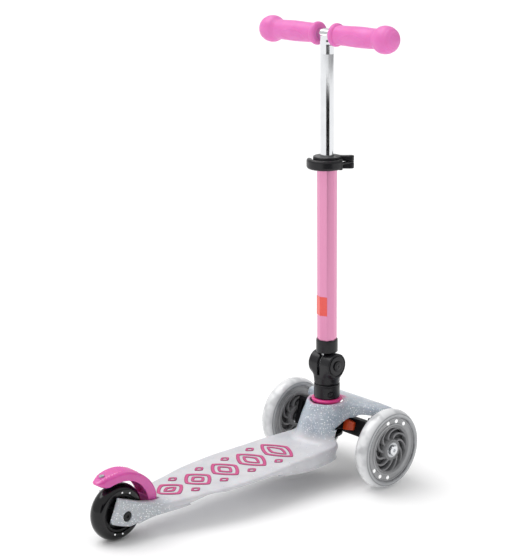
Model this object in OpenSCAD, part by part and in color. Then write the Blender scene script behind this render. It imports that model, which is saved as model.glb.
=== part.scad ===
/* [Overall] */
// Distance from the rear axle to the front axle
wheelbase = 428; // [380:1:480]
// Half the distance between the two front wheels' middle planes
front_track_half = 100; // [96:0.5:112]
// Height of the handlebar's centre above the column's foot, along the column
bar_rise = 552; // [500:1:600]
// Lean of the column back from upright, in degrees
column_lean = 2.75; // [2:0.25:4]

/* [Deck] */
// Half of the deck's greatest width
deck_half_w = 57; // [52:0.5:62]
// Height of the deck's top, 89 mm in front of the rear axle
deck_rear_z = 47.1; // [45:0.1:50]
// Height of the deck's top at the column
deck_front_z = 62.3; // [60:0.1:65]
// Thickness of the deck's thin middle stretch
deck_t = 6; // [5:0.5:8]
// Depth of the side skirt below the deck's top, near the front
skirt_h = 20; // [16:0.5:24]
// Wall of the moulded hood and wings
shell_t = 3; // [2.5:0.25:4]
// Height that the raised tread pattern stands above the deck
tread_h = 0.8; // [0.5:0.1:1.2]

/* [Hood and wings] */
// Radius of the hood where it holds the collar ring
hood_top_r = 23.5; // [23:0.5:26]
// Radius of the hood where it meets the deck
hood_foot_r = 47; // [44:0.5:50]
// Half the span of the wings
wing_half_span = 77; // [72:0.5:80]

/* [Rear wheel and fork] */
// Radius of the rear tyre
rear_wheel_r = 40; // [38:0.5:42]
// Width of the rear wheel
rear_wheel_w = 24; // [22:0.5:26]
// Gap between the rear wheel and each fork arm
fork_gap = 3.5; // [2.5:0.25:5]
// Thickness of each fork arm
fork_t = 10.2; // [8:0.2:12]

/* [Front wheels] */
// Radius of the front tyres
front_wheel_r = 60; // [58:0.5:62]
// Width of the front wheels
front_wheel_w = 24; // [22:0.5:26]
// Outer radius of the spoked core
core_r = 37; // [34:0.5:39]
// Outer radius of the light ring
ring_r = 48; // [46:0.5:50]
// Number of curved spokes in a front wheel
spokes = 10; // [8:1:12]

/* [Axles and bearings] */
// Radius of the wheel axles
axle_r = 4; // [3.5:0.25:4.5]
// Outer radius of the ball bearings
bearing_r = 11; // [10.5:0.25:12]
// Width of one ball bearing
bearing_w = 7; // [6:0.5:8]

/* [Steering] */
// Distance of each kingpin from the middle plane
kingpin_y = 66; // [62:0.5:70]
// Radius of the kingpins
kingpin_r = 3; // [2.5:0.25:4]
// Forward rake of the kingpins, in degrees
kingpin_rake = 12; // [6:1:16]
// Reach of the steering levers in front of the kingpins
lever_reach = 26; // [22:1:30]

/* [Column] */
// Height of the fold hinge's axis above the column's foot
hinge_s = 62; // [58:0.5:66]
// Radius of the fold hinge's barrel
barrel_r = 18.5; // [17:0.5:20]
// Width of the fold hinge's barrel
barrel_w = 43; // [40:0.5:46]
// Across the corners of the eight-sided outer tube
outer_tube_d = 29.7; // [28:0.1:32]
// Diameter of the chrome inner tube
inner_tube_d = 20; // [18:0.25:21]
// Wall of the chrome inner tube
inner_tube_wall = 1.5; // [1.2:0.1:2]
// Height of the clamp's middle above the column's foot
clamp_s = 367; // [340:1:385]
// Travel of the handlebar, down from its highest place
bar_travel = 150; // [100:1:160]

/* [Handlebar] */
// Diameter of the crossbar
crossbar_d = 16; // [15:0.25:18]
// Distance of each round knob's centre from the middle plane
knob_y = 112.6; // [105:0.5:120]
// Radius of the round knobs
knob_r = 19.4; // [18:0.2:21]
// Radius of the grips' inner flanges
flange_r = 16.5; // [15.5:0.25:18]

/* [Hidden] */
$fn = 64;

fit = 0.05;            // radial clearance of a pin that turns or slides
gap = 0.3;             // clearance between faces that pass each other
eps = 0.01;

// Places that the rest follows
rear_x = -wheelbase/2 - 10;
front_x = rear_x + wheelbase;
deck_ref_x = rear_x + 89.3;
column_x = front_x - 27;
column_z = 111.3;
deck_pitch = atan((deck_front_z - deck_rear_z)/(column_x - deck_ref_x));
function deck_top(x) = deck_rear_z + (x - deck_ref_x)*tan(deck_pitch);

// Underside of the deck
skirt_t = 4;           // wall of the skirt
rib_t = 3;
rib_y = 30;
pocket_x0 = front_x - 182;
pocket_x1 = front_x - 58;

// Hood and wings, as heights
hood_top_z = 117.5;
wing_top_z = 118.5;
wing_low_z = 84;       // the wings' section goes down to here before the opening is cut

// Fork
fork_in = rear_wheel_w/2 + fork_gap;
fork_out = fork_in + fork_t;
slot_front_x = rear_x + rear_wheel_r + 6;
axle_seat_r = 7.2;     // recess for the rear axle's heads

// Steering, in the raked frame whose origin is the front axle
beam_w = 18;
beam_z0 = 8;
beam_z1 = 28;
ear_t = 6.4;
ear_r = 9;
web_y0 = kingpin_y + 10;
web_y1 = web_y0 + 7.5;
lever_r = 6;
rod_pin_r = 2.5;
liner_t = 2;
wing_rim_z = 100.5;   // lower rim of the wings, over the kingpins
open_pivot_gap = 0.4;
housing_w = 22;
housing_reach = 26;
screw_r = 2.5;
screw_head_r = 4.8;
screw_y = 14;          // from the middle plane
rod_t = 5;             // thickness of the tie rod
rod_z0 = beam_z0 - ear_t - 2*gap - rod_t;

// Raised motifs on the deck
motif_x = 94;          // from the rear axle to the first one, in front of the fork
motif_step = 51;
motif_w = 22;          // half the width of the first one

// Column, measured along its axis from its foot
foot_r = 14;
foot_s0 = -52;
socket_r = 17.5;
ring_s0 = 5.6;
ring_s1 = 9.6;
ring_skirt_r = 20.5;
sleeve_s0 = 10;
sleeve_s1 = 31.5;
sleeve_r = 19.5;
neck_r = 18.4;
slit_w = 5;
tongue_t = slit_w - 2*gap;
tongue_r = 15;
hinge_pin_r = 4;
upper_s0 = hinge_s + barrel_r + 0.8;
upper_s1 = upper_s0 + 19.7;
upper_r = 16.25;
tube_s0 = upper_s0 + 3;
tube_s1 = clamp_s + 4;
label_s = tube_s0 + 55;
label_h = 29;
outer_bore_r = outer_tube_d/2*cos(22.5) - 2.4;
inner_s0 = clamp_s - 67;
clamp_h = 15;
clamp_r = 20.5;
clamp_pin_r = 2;
lever_pivot = 34;      // distance of the lever's pin from the column's axis
lever_pivot_a = -45;   // its direction, from straight ahead
release_s = 18;
release_a = -118;
release_r = 4.3;
hinge_button_r = 7;
button_travel = 2;

// Brake
brake_gap = 5;
brake_in_r = rear_wheel_r + brake_gap + 1;
brake_pin_x = rear_x + rear_wheel_r + 16;
brake_pin_z = 41;
brake_pin_r = 2.5;
rivet_x = rear_x - 24;
rivet_r = 2;
rivet_head_r = 3.7;
rivet_seat_z = 95.2;
brake_hub_w = 28.4;

// A smooth line through points, by the Catmull-Rom rule
function pick(p, i) = p[max(0, min(len(p) - 1, i))];
function mix(a, b, c, d, t) =
    0.5*(2*b + (c - a)*t + (2*a - 5*b + 4*c - d)*t*t + (3*b - a - 3*c + d)*t*t*t);
function smooth(p, n = 4) = [for (i = [0:len(p) - 2]) for (k = [0:n - 1])
    mix(pick(p, i - 1), p[i], p[i + 1], pick(p, i + 2), k/n), p[len(p) - 1]];
function flip(p) = [for (i = [len(p) - 1:-1:0]) [p[i][0], -p[i][1]]];

// A side view (x, z) given a width across, a rod across, and the frames that pieces are drawn in
module along_y(y0, y1) { translate([0, y1, 0]) rotate([90, 0, 0]) linear_extrude(y1 - y0) children(); }
module rod_y(r, y0, y1) { translate([0, y0, 0]) rotate([-90, 0, 0]) cylinder(r = r, h = y1 - y0); }
module column() { translate([column_x, 0, column_z]) rotate([0, -column_lean, 0]) children(); }
module at_s(s) { translate([0, 0, s]) children(); }
module steer() { translate([front_x, 0, front_wheel_r]) rotate([0, kingpin_rake, 0]) children(); }
module tube(r1, r2, s0, s1) {
    translate([0, 0, s0]) difference() {
        cylinder(r = r1, h = s1 - s0);
        translate([0, 0, -1]) cylinder(r = r2, h = s1 - s0 + 2);
    }
}
module sided(side) { if (side > 0) children(); else mirror([0, 1, 0]) children(); }

// ---- deck, hood, wings and fork: one moulding ----
deck_edge = smooth([
    [rear_x + 20, fork_out], [rear_x + 40, fork_out + 1.2], [rear_x + 66, fork_out + 7.5],
    [rear_x + 95, fork_out + 14.5], [rear_x + 120, deck_half_w - 12],
    [rear_x + 160, deck_half_w - 3.5], [rear_x + wheelbase*0.5, deck_half_w],
    [front_x - 190, deck_half_w - 0.5], [front_x - 145, deck_half_w - 3],
    [front_x - 110, deck_half_w - 4], [front_x - 78, deck_half_w - 6.5], [front_x - 54, deck_half_w - 9.5],
    [front_x - 47, deck_half_w - 16.5], [front_x - 40, deck_half_w - 23], [front_x - 33, deck_half_w - 29],
    [front_x - 26, deck_half_w - 34], [front_x - 20, deck_half_w - 37.5], [front_x - 18, deck_half_w - 41],
    [front_x - 18, 0]]);

module deck_plan() { polygon(concat(deck_edge, flip(deck_edge))); }

// A place under the deck's top
function under(x, depth) = [x, deck_top(x) - depth];

module deck_side() {
    polygon(concat([under(rear_x + 20, 0), under(front_x - 16, 0)], smooth([
        under(front_x - 16, deck_t), under(front_x - 32, deck_t + 2), under(front_x - 44, skirt_h - 2),
        under(front_x - 60, skirt_h + 1), under(front_x - 84, skirt_h + 1.5),
        under(front_x - 124, skirt_h - 0.5), under(front_x - 144, 16), under(front_x - 164, 12),
        under(front_x - 184, 8), under(front_x - 206, deck_t), under(rear_x + 155, deck_t),
        [rear_x + 130, 45], [rear_x + 108, 40], [rear_x + 82, 35],
        [rear_x + 39, 30], [rear_x + 20, 27]])));
}

module deck_pocket() {
    intersection() {
        translate([0, 0, 10]) linear_extrude(80) offset(delta = -skirt_t) deck_plan();
        along_y(-deck_half_w, deck_half_w) polygon([[pocket_x0, 0], under(pocket_x0, deck_t),
            under(pocket_x1, deck_t), [pocket_x1, 0]]);
    }
}

module deck_ribs() {
    for (y = [-rib_y, 0, rib_y]) intersection() {
        along_y(y - rib_t/2, y + rib_t/2) deck_side();
        translate([pocket_x0 - 2, -deck_half_w, 0]) cube([pocket_x1 - pocket_x0 + 4, 2*deck_half_w, 90]);
    }
}

module fork_side() {
    polygon(concat(smooth([[rear_x - 11, deck_rear_z + 19.4], [rear_x + 8, 60.2], [rear_x + 20, 55.5],
            [rear_x + 35, 51.4], [rear_x + 50, 48], [rear_x + 70, 46.5]], 3),
        [[rear_x + 70, 36], [rear_x + 39, 29]],
        smooth([[rear_x + 20, 25], [rear_x + 8, 23.3], [rear_x - 2, 25.4], [rear_x - 18, 32.4]], 3)));
}

hood_profile = smooth([[hood_top_r, hood_top_z], [hood_top_r + 4.2, 108], [hood_top_r + 10.3, 97],
    [hood_top_r + 14.8, 84], [hood_top_r + 18, 73], [hood_foot_r - 2.5, 64], [hood_foot_r, 58]]);

module hood_solid(inset) {
    translate([column_x - 3, 0, 0]) rotate_extrude()
        polygon(concat([[0, 50], [0, hood_top_z - inset]],
            [for (p = hood_profile) [p[0] - inset, min(p[1], hood_top_z - inset)]],
            [[hood_foot_r - inset, 50]]));
}

wing_rear = smooth([[front_x - 60, 0], [front_x - 40, 25], [front_x - 19, 35], [front_x - 6, 52],
    [front_x + 0, 66], [front_x + 8, wing_half_span - 2], [front_x + 18, wing_half_span]]);
wing_front = smooth([[front_x + 42, wing_half_span], [front_x + 51, wing_half_span - 3],
    [front_x + 56, wing_half_span - 12], [front_x + 57, 40], [front_x + 55, 0]]);

module wing_plan() { polygon(concat(wing_rear, wing_front, flip(wing_front), flip(wing_rear))); }

module wing_section(inset) {
    top = wing_top_z - inset;
    polygon(smooth([[front_x - 62 + inset, top - 10], [front_x - 30 + inset*0.6, top - 2.5],
        [front_x + 2, top], [front_x + 24, top - 3.5], [front_x + 42 - inset*0.7, top - 12],
        [front_x + 53 - inset, top - 22], [front_x + 57 - inset, wing_top_z - 32]]));
}

module wing_section_under(inset) {
    wing_section(inset);
    polygon([[front_x - 62 + inset, wing_top_z - inset - 10], [front_x + 57 - inset, wing_top_z - 32],
        [front_x + 57 - inset, wing_low_z - 4], [front_x - 62 + inset, wing_low_z - 4]]);
}

module wing_solid(inset, low) {
    intersection() {
        along_y(-wing_half_span - 5, wing_half_span + 5) wing_section_under(inset);
        translate([0, 0, low]) linear_extrude(60) offset(delta = -inset) wing_plan();
        wing_droop(inset, low);
    }
}

module wing_droop(inset, low) {
    translate([front_x - 90, 0, 0]) rotate([90, 0, 90]) linear_extrude(180)
        polygon(concat([[-wing_half_span - 2, low], [wing_half_span + 2, low]],
            smooth([[wing_half_span + 2, 108 - inset], [wing_half_span - 12, 114.5 - inset],
                [44, 118 - inset], [0, 119 - inset], [-44, 118 - inset],
                [-wing_half_span + 12, 114.5 - inset], [-wing_half_span - 2, 108 - inset]])));
}

// Opening in front of the hood and under the wings, for the steering
module arch_cut() {
    far = wing_half_span + 10;
    along_y(-far, far) polygon(concat(
        smooth([[front_x - 50, 40], [front_x - 49, 60], [front_x - 46, 72], [front_x - 40, 82],
            [front_x - 31, 89], [front_x - 20, 93.5], [front_x - 6, 95]]),
        [[front_x + 80, 92], [front_x + 80, 40]]));
    for (side = [1, -1]) sided(side) translate([front_x - 60, 0, 0])
        rotate([90, 0, 90]) linear_extrude(140)
            polygon(concat(smooth([[34, 80], [38, 90], [45, 97], [56, wing_rim_z], [far, wing_rim_z]]),
                [[far, 80]]));
}

module hood_and_wings() {
    difference() {
        union() { hood_solid(0); wing_solid(0, wing_low_z); }
        hood_solid(shell_t);
        wing_solid(shell_t, wing_low_z - 4);
        arch_cut();
    }
}

module deck_shell() {
    color("lightgray") difference() {
        union() {
            difference() {
                intersection() {
                    linear_extrude(100) deck_plan();
                    along_y(-deck_half_w, deck_half_w) deck_side();
                }
                difference() { deck_pocket(); deck_ribs(); }
            }
            along_y(-fork_out, fork_out) fork_side();
            hood_and_wings();
        }
        // slot for the rear wheel
        translate([rear_x - 40, -fork_in, 0]) cube([slot_front_x - rear_x + 30, 2*fork_in, 90]);
        translate([slot_front_x - 10, 0, 0]) slot_end();
        // recess and bore for the brake's pivot
        translate([slot_front_x - 12, -brake_hub_w/2 - 0.5, 32]) cube([30, brake_hub_w + 1, 40]);
        translate([brake_pin_x, 0, brake_pin_z]) rod_y(brake_pin_r, -20, 20);
        // rear axle bore and the seats of its heads
        translate([rear_x, 0, rear_wheel_r]) {
            rod_y(axle_r + fit, -fork_out - 1, fork_out + 1);
            for (side = [1, -1]) sided(side) rod_y(axle_seat_r, fork_out - 3, fork_out + 1);
        }
        // column socket's hole, through the deck and the hood's top
        column() at_s(-80) cylinder(r = socket_r + fit, h = 120);
        column() at_s(-8) cylinder(r = ring_skirt_r + fit, h = 40);
        column() at_s(ring_s0 - 0.5) cylinder(r = 60, h = 30);
    }
}

module slot_end() {
    linear_extrude(90) intersection() {
        circle(r = fork_in);
        translate([0, -fork_in]) square([fork_in, 2*fork_in]);
    }
}

// ---- raised, generic anti-slip pattern ----
module on_deck(x) { translate([x, 0, deck_top(x)]) rotate([0, -deck_pitch, 0]) children(); }

// A diamond with its sides bulged out, half a long and half b wide
module rhomb(a, b) {
    polygon([[a, 0], [a*0.62, b*0.55], [0, b], [-a*0.62, b*0.55],
        [-a, 0], [-a*0.62, -b*0.55], [0, -b], [a*0.62, -b*0.55]]);
}

module motif(a, b) {
    linear_extrude(tread_h) {
        difference() { rhomb(a, b); rhomb(a - 6, b - 7); }
        difference() { rhomb(a - 11, b - 13); rhomb(a - 16, b - 19); }
    }
}

module tread_pattern() {
    color("palevioletred") {
        for (i = [0:4]) on_deck(rear_x + motif_x + i*motif_step)
            motif(motif_step*0.44, min(deck_half_w - 23, motif_w + 3*i));
        for (i = [0:3], s = [-1, 1]) on_deck(rear_x + motif_x + (i + 0.5)*motif_step)
            translate([0, s*(motif_w + 3 + 2*i), 0]) linear_extrude(tread_h) rhomb(8, 7);
    }
}

// ---- front housing, beam and steering ----
module collar_ring() {
    color("mediumvioletred") column() difference() {
        union() {
            at_s(ring_s0) cylinder(r = hood_top_r, h = ring_s1 - ring_s0);
            at_s(-6) cylinder(r = ring_skirt_r, h = ring_s0 + 6 + eps);
        }
        at_s(-20) cylinder(r = socket_r + fit, h = 50);
    }
}

module front_housing() {
    color([0.12, 0.12, 0.13]) difference() {
        union() {
            column() at_s(foot_s0) cylinder(r = socket_r, h = ring_s1 - foot_s0 - 0.6);
            // flange that rests on the deck
            column() at_s(deck_top(column_x) - column_z + 0.4) cylinder(r = 24, h = 4);
            steer() translate([-housing_reach, -housing_w, beam_z0])
                cube([housing_reach - beam_w/2, 2*housing_w, beam_z1 - beam_z0]);
        }
        column() at_s(foot_s0 + 3) cylinder(r = foot_r + fit, h = 100);
        beam_screw_places(-24) cylinder(r = screw_r, h = 30);
    }
}

// Places of the two screws through the beam, starting at x, pointing forwards
module beam_screw_places(x) {
    for (side = [-1, 1]) steer() translate([x, side*screw_y, (beam_z0 + beam_z1)/2])
        rotate([0, 90, 0]) children();
}

module wing_liners() {
    color([0.1, 0.1, 0.11]) for (side = [1, -1]) sided(side) intersection() {
        along_y(housing_w + 20, wing_half_span - shell_t - 2) difference() {
            wing_section_under(shell_t + gap);
            wing_section_under(shell_t + gap + liner_t);
        }
        translate([0, 0, 80]) linear_extrude(60) offset(delta = -shell_t - gap) wing_plan();
        wing_droop(shell_t + gap, wing_rim_z + 0.5);
    }
}

module steering_beam() {
    color([0.1, 0.1, 0.11]) difference() {
        steer() difference() {
            union() {
                translate([-beam_w/2, -kingpin_y, beam_z0]) cube([beam_w, 2*kingpin_y, beam_z1 - beam_z0]);
                for (s = [-1, 1]) translate([0, s*kingpin_y, beam_z0])
                    cylinder(r = ear_r, h = beam_z1 - beam_z0);
            }
            for (s = [-1, 1]) translate([0, s*kingpin_y, 0]) cylinder(r = kingpin_r + fit, h = 60);
        }
        beam_screw_places(-20) cylinder(r = screw_r, h = 40);
        beam_screw_places(beam_w/2 - 3) cylinder(r = screw_head_r + 0.4, h = 40);
    }
}

module beam_screws() {
    color("silver") {
        beam_screw_places(-22) cylinder(r = screw_r, h = beam_w/2 + 19);
        beam_screw_places(beam_w/2 - 3) cylinder(r = screw_head_r, h = 2.6);
    }
}

module kingpins() {
    color("silver") for (s = [-1, 1]) steer() translate([0, s*kingpin_y, 0]) {
        translate([0, 0, beam_z0 - ear_t - gap - 3.5]) cylinder(r = kingpin_r, h = 42);
        translate([0, 0, beam_z1 + ear_t + 2*gap]) cylinder(r = 5.5, h = 3);
        translate([0, 0, beam_z0 - ear_t - 2*gap - 3.4]) cylinder(r = 5.2, h = 3.4);
    }
}

module steering_elastomers() {
    color([0.86, 0.26, 0.1]) for (side = [1, -1]) sided(side) steer() hull() {
        translate([-beam_w/2 - 10, 24, beam_z0 + 1]) cube([9.9, 6, 16]);
        translate([-beam_w/2 - 4, 24, beam_z0 + 3]) cube([3.9, 16, 12]);
    }
}

module knuckle() {
    color([0.1, 0.1, 0.11]) steer() difference() {
        union() {
            translate([-9, web_y0, -9]) cube([18, web_y1 - web_y0, beam_z1 + ear_t + gap + 9]);
            rod_y(9, web_y0, web_y1 + 1);
            rod_y(6.6, web_y0, front_track_half - front_wheel_w/2 - gap);
            for (z = [beam_z0 - ear_t - gap, beam_z1 + gap]) translate([0, 0, z]) {
                translate([-9, kingpin_y, 0]) cube([18, web_y0 - kingpin_y + 1, ear_t]);
                translate([0, kingpin_y, 0]) cylinder(r = ear_r, h = ear_t);
            }
            translate([0, kingpin_y, beam_z0 - ear_t - gap]) {
                translate([0, -lever_r, 0]) cube([lever_reach, 2*lever_r, ear_t]);
                translate([lever_reach, 0, 0]) cylinder(r = lever_r, h = ear_t);
            }
        }
        translate([0, kingpin_y, -20]) cylinder(r = kingpin_r + fit, h = 80);
        rod_y(axle_r + fit, web_y0 - 1, front_track_half);
        children();
    }
}
module lever_bore(clear) {
    translate([lever_reach, kingpin_y, -20]) cylinder(r = rod_pin_r + clear, h = 60);
}
module knuckle_left() { knuckle() lever_bore(fit); }
module knuckle_right() { mirror([0, 1, 0]) knuckle() lever_bore(open_pivot_gap); }

module tie_rod() {
    color([0.16, 0.16, 0.17]) steer() translate([lever_reach, 0, rod_z0]) difference() {
        union() {
            translate([-4.5, -kingpin_y, 0]) cube([9, 2*kingpin_y, rod_t]);
            for (s = [-1, 1]) translate([0, s*kingpin_y, 0]) cylinder(r = lever_r, h = rod_t);
        }
        for (s = [-1, 1]) translate([0, s*kingpin_y, -1]) cylinder(r = rod_pin_r, h = 10);
    }
}

module tie_rod_pins() {
    color("silver") steer() for (s = [-1, 1]) translate([lever_reach, s*kingpin_y, rod_z0]) {
        cylinder(r = rod_pin_r, h = rod_t + ear_t + 2*gap + 1);
        translate([0, 0, rod_t + ear_t + 2*gap]) cylinder(r = 4.2, h = 2);
        translate([0, 0, -1.5]) cylinder(r = 4.2, h = 1.5);
    }
}

// ---- front wheels, drawn about the Y axis with the outer face at +Y ----
module wheel_at(side) { sided(side) translate([front_x, front_track_half, front_wheel_r]) children(); }
module turned() { rotate([-90, 0, 0]) rotate_extrude() children(); }

module tyre_section(r0, r1, w, crown) {
    intersection() {
        translate([r0, -w/2]) square([r1 - r0, w]);
        translate([r1 - crown, 0]) circle(r = crown);
    }
}

module front_tyre() {
    color([0.86, 0.88, 0.9, 0.6]) turned() tyre_section(ring_r, front_wheel_r, front_wheel_w, 16);
}

module light_ring() {
    color([0.62, 0.62, 0.63]) difference() {
        turned() translate([core_r, -10.5]) square([ring_r - core_r, 21]);
        turned() translate([core_r + 2.5, 8]) square([ring_r - core_r - 5, 4]);
        turned() translate([core_r + 2.5, -12]) square([ring_r - core_r - 5, 4]);
    }
}

// One edge of a curved spoke, to one side of its middle line
spoke_root_r = 13.5;
function spoke_edge(side) = [for (k = [0:6])
    let (u = k/6, q = spoke_root_r + u*(core_r - 3 - spoke_root_r), a = 40*u*u + 8*u)
    [q*cos(a) - side*sin(a + 25), q*sin(a) + side*cos(a + 25)]];
function backwards(p) = [for (i = [len(p) - 1:-1:0]) p[i]];

module front_core() {
    color([0.32, 0.32, 0.33]) {
        turned() translate([core_r - 4, -11]) square([4, 22]);
        turned() translate([bearing_r, -front_wheel_w/2]) square([4.5, front_wheel_w]);
        turned() translate([bearing_r + 4, -2]) square([core_r - bearing_r - 7, 4]);
        rotate([-90, 0, 0]) for (i = [0:spokes - 1]) rotate(i*360/spokes) translate([0, 0, -7.5])
            linear_extrude(15) polygon(concat(spoke_edge(-1.6), backwards(spoke_edge(1.6))));
        turned() translate([bearing_r - 1.5, -front_wheel_w/2 + bearing_w])
            square([1.5 + eps, front_wheel_w - 2*bearing_w]);
    }
}

module bearing_pair(w) {
    color("silver") for (y = [-w/2, w/2 - bearing_w])
        translate([0, y, 0]) rotate([-90, 0, 0]) difference() {
        cylinder(r = bearing_r, h = bearing_w);
        translate([0, 0, -1]) cylinder(r = axle_r + fit, h = bearing_w + 2);
        for (z = [-1, bearing_w - 0.6]) translate([0, 0, z]) difference() {
            cylinder(r = bearing_r - 2, h = 1.6);
            cylinder(r = axle_r + 2, h = 1.6);
        }
    }
}

module spacer(w) {
    color("dimgray") rotate([-90, 0, 0]) translate([0, 0, -w/2 + bearing_w + gap]) difference() {
        cylinder(r = axle_r + 2.4, h = w - 2*bearing_w - 2*gap);
        translate([0, 0, -1]) cylinder(r = axle_r + fit, h = w);
    }
}

module hex_socket(r, y) { translate([0, y, 0]) rotate([-90, 0, 0]) cylinder(r = r, h = 5, $fn = 6); }

module axle_bolt() {
    color("silver") {
        rod_y(axle_r, web_y0 - front_track_half + 0.5, front_wheel_w/2 + 1);
        difference() {
            rod_y(7.5, front_wheel_w/2 + gap, front_wheel_w/2 + 3.6);
            hex_socket(2.9, front_wheel_w/2 + 1.4);
        }
    }
}

module tyre_left() { wheel_at(1) front_tyre(); }
module light_ring_left() { wheel_at(1) light_ring(); }
module core_left() { wheel_at(1) front_core(); }
module bearings_left() { wheel_at(1) bearing_pair(front_wheel_w); }
module spacer_left() { wheel_at(1) spacer(front_wheel_w); }
module axle_bolt_left() { wheel_at(1) axle_bolt(); }
module tyre_right() { wheel_at(-1) front_tyre(); }
module light_ring_right() { wheel_at(-1) light_ring(); }
module core_right() { wheel_at(-1) front_core(); }
module bearings_right() { wheel_at(-1) bearing_pair(front_wheel_w); }
module spacer_right() { wheel_at(-1) spacer(front_wheel_w); }
module axle_bolt_right() { wheel_at(-1) axle_bolt(); }

// ---- rear wheel ----
module at_rear() { translate([rear_x, 0, rear_wheel_r]) children(); }
rear_core_r = rear_wheel_r - 13;

module rear_tyre() {
    color([0.07, 0.07, 0.08]) at_rear() turned() tyre_section(rear_core_r, rear_wheel_r, rear_wheel_w, 14);
}

module rear_core() {
    color([0.1, 0.1, 0.11]) at_rear() {
        turned() translate([rear_core_r - 4, -10]) square([4, 20]);
        turned() translate([bearing_r, -rear_wheel_w/2]) square([3.5, rear_wheel_w]);
        turned() translate([bearing_r + 3, -3]) square([rear_core_r - bearing_r - 6, 6]);
        rotate([-90, 0, 0]) for (i = [0:4]) rotate(i*72) translate([bearing_r + 3, -2, -8])
            cube([rear_core_r - bearing_r - 6, 4, 16]);
    }
}

module rear_bearings() { at_rear() bearing_pair(rear_wheel_w); }
module rear_spacer() { at_rear() spacer(rear_wheel_w); }

module rear_axle_bolt() {
    color([0.08, 0.08, 0.09]) at_rear() difference() {
        union() {
            rod_y(axle_r, -fork_out + 2, fork_out - 2);
            for (s = [-1, 1]) sided(s) rod_y(axle_seat_r - 0.3, fork_out - 2.9, fork_out - 0.4);
        }
        for (s = [-1, 1]) sided(s) hex_socket(2.6, fork_out - 1.8);
    }
}

// ---- brake ----
module brake_side() {
    polygon(concat(
        smooth([[brake_pin_x + 5, 44], [brake_pin_x + 6, 54], [brake_pin_x + 1, 67],
            [brake_pin_x - 9, 80], [rear_x + 30, 92], [rear_x + 8, 99.5], [rear_x - 14, 98.5],
            [rear_x - 30, 93.5], [rear_x - 38, 88.5]]),
        [[rear_x - 37, 85], [rear_x - 30, 81], [rear_x - 20, 78], [rear_x, rear_wheel_r],
            [brake_pin_x - 8, 44]]));
}

brake_edge = smooth([[rear_x - 39, 3], [rear_x - 36, 6.5], [rear_x - 26, 11],
    [rear_x - 10, 14.5], [rear_x + 15, 15.5], [rear_x + 32, 14.6],
    [brake_pin_x - 12, brake_hub_w/2], [brake_pin_x + 8, brake_hub_w/2]], 3);

module brake_fender() {
    color([0.85, 0.38, 0.66]) difference() {
        union() {
            intersection() {
                along_y(-16, 16) brake_side();
                linear_extrude(120) polygon(concat(brake_edge, flip(brake_edge)));
            }
            translate([brake_pin_x, 0, brake_pin_z]) rod_y(5.5, -brake_hub_w/2, brake_hub_w/2);
        }
        at_rear() rod_y(brake_in_r, -20, 20);
        // hollow behind the front of the fender
        at_rear() intersection() {
            rod_y(brake_in_r + 6, -10.5, 10.5);
            rotate([0, -62, 0]) translate([0, -20, -60]) cube([60, 40, 60]);
            translate([0, -20, 14]) cube([80, 40, 60]);
        }
        translate([brake_pin_x, 0, brake_pin_z]) rod_y(brake_pin_r + fit, -20, 20);
        translate([rivet_x, 0, 60]) cylinder(r = rivet_r, h = 60);
        translate([rivet_x, 0, rivet_seat_z]) cylinder(r = rivet_head_r + 0.2, h = 20);
    }
}

module brake_plate() {
    color("silver") difference() {
        at_rear() rotate([90, 0, 0]) translate([0, 0, -8]) rotate([0, 0, 64]) rotate_extrude(angle = 48)
            translate([brake_in_r - 1, 0]) square([1, 16]);
        translate([rivet_x, 0, rear_wheel_r]) cylinder(r = rivet_r, h = 80);
    }
}

module brake_rivet() {
    color("silver") translate([rivet_x, 0, 0]) {
        translate([0, 0, rivet_seat_z - 15]) cylinder(r = rivet_r, h = 15.5);
        translate([0, 0, rivet_seat_z]) cylinder(r = rivet_head_r, h = 2);
    }
}

module brake_pin() {
    color("silver") translate([brake_pin_x, 0, brake_pin_z]) rod_y(brake_pin_r, -19.5, 19.5);
}

// ---- column foot and fold hinge ----
module foot_tube() {
    color([0.55, 0.56, 0.58]) column() difference() {
        at_s(foot_s0 + 3.3) cylinder(r = foot_r, h = sleeve_s1 + 6 - foot_s0 - 3.3);
        at_s(foot_s0) cylinder(r = foot_r - 2, h = 200);
        at_s(release_s) rotate([0, 0, release_a]) rotate([0, 90, 0]) cylinder(r = release_r + fit, h = 40);
    }
}

module base_sleeve() {
    color([0.13, 0.13, 0.14]) column() difference() {
        at_s(sleeve_s0) cylinder(r = sleeve_r, h = sleeve_s1 - sleeve_s0);
        at_s(0) cylinder(r = foot_r + fit, h = 60);
        at_s(release_s) rotate([0, 0, release_a]) rotate([0, 90, 0]) cylinder(r = release_r + fit, h = 40);
    }
}

module release_button() {
    color([0.2, 0.2, 0.21]) column() at_s(release_s) rotate([0, 0, release_a]) rotate([0, 90, 0])
        translate([0, 0, 8]) intersection() {
            cylinder(r = release_r, h = sleeve_r - 8 + 0.6);
            translate([0, 0, sleeve_r - 8 + 0.6 - 9]) sphere(r = 9);
            translate([-20, -20, 0]) cube([40, 40, 40]);
        }
}

module at_hinge() { column() at_s(hinge_s) children(); }

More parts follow.
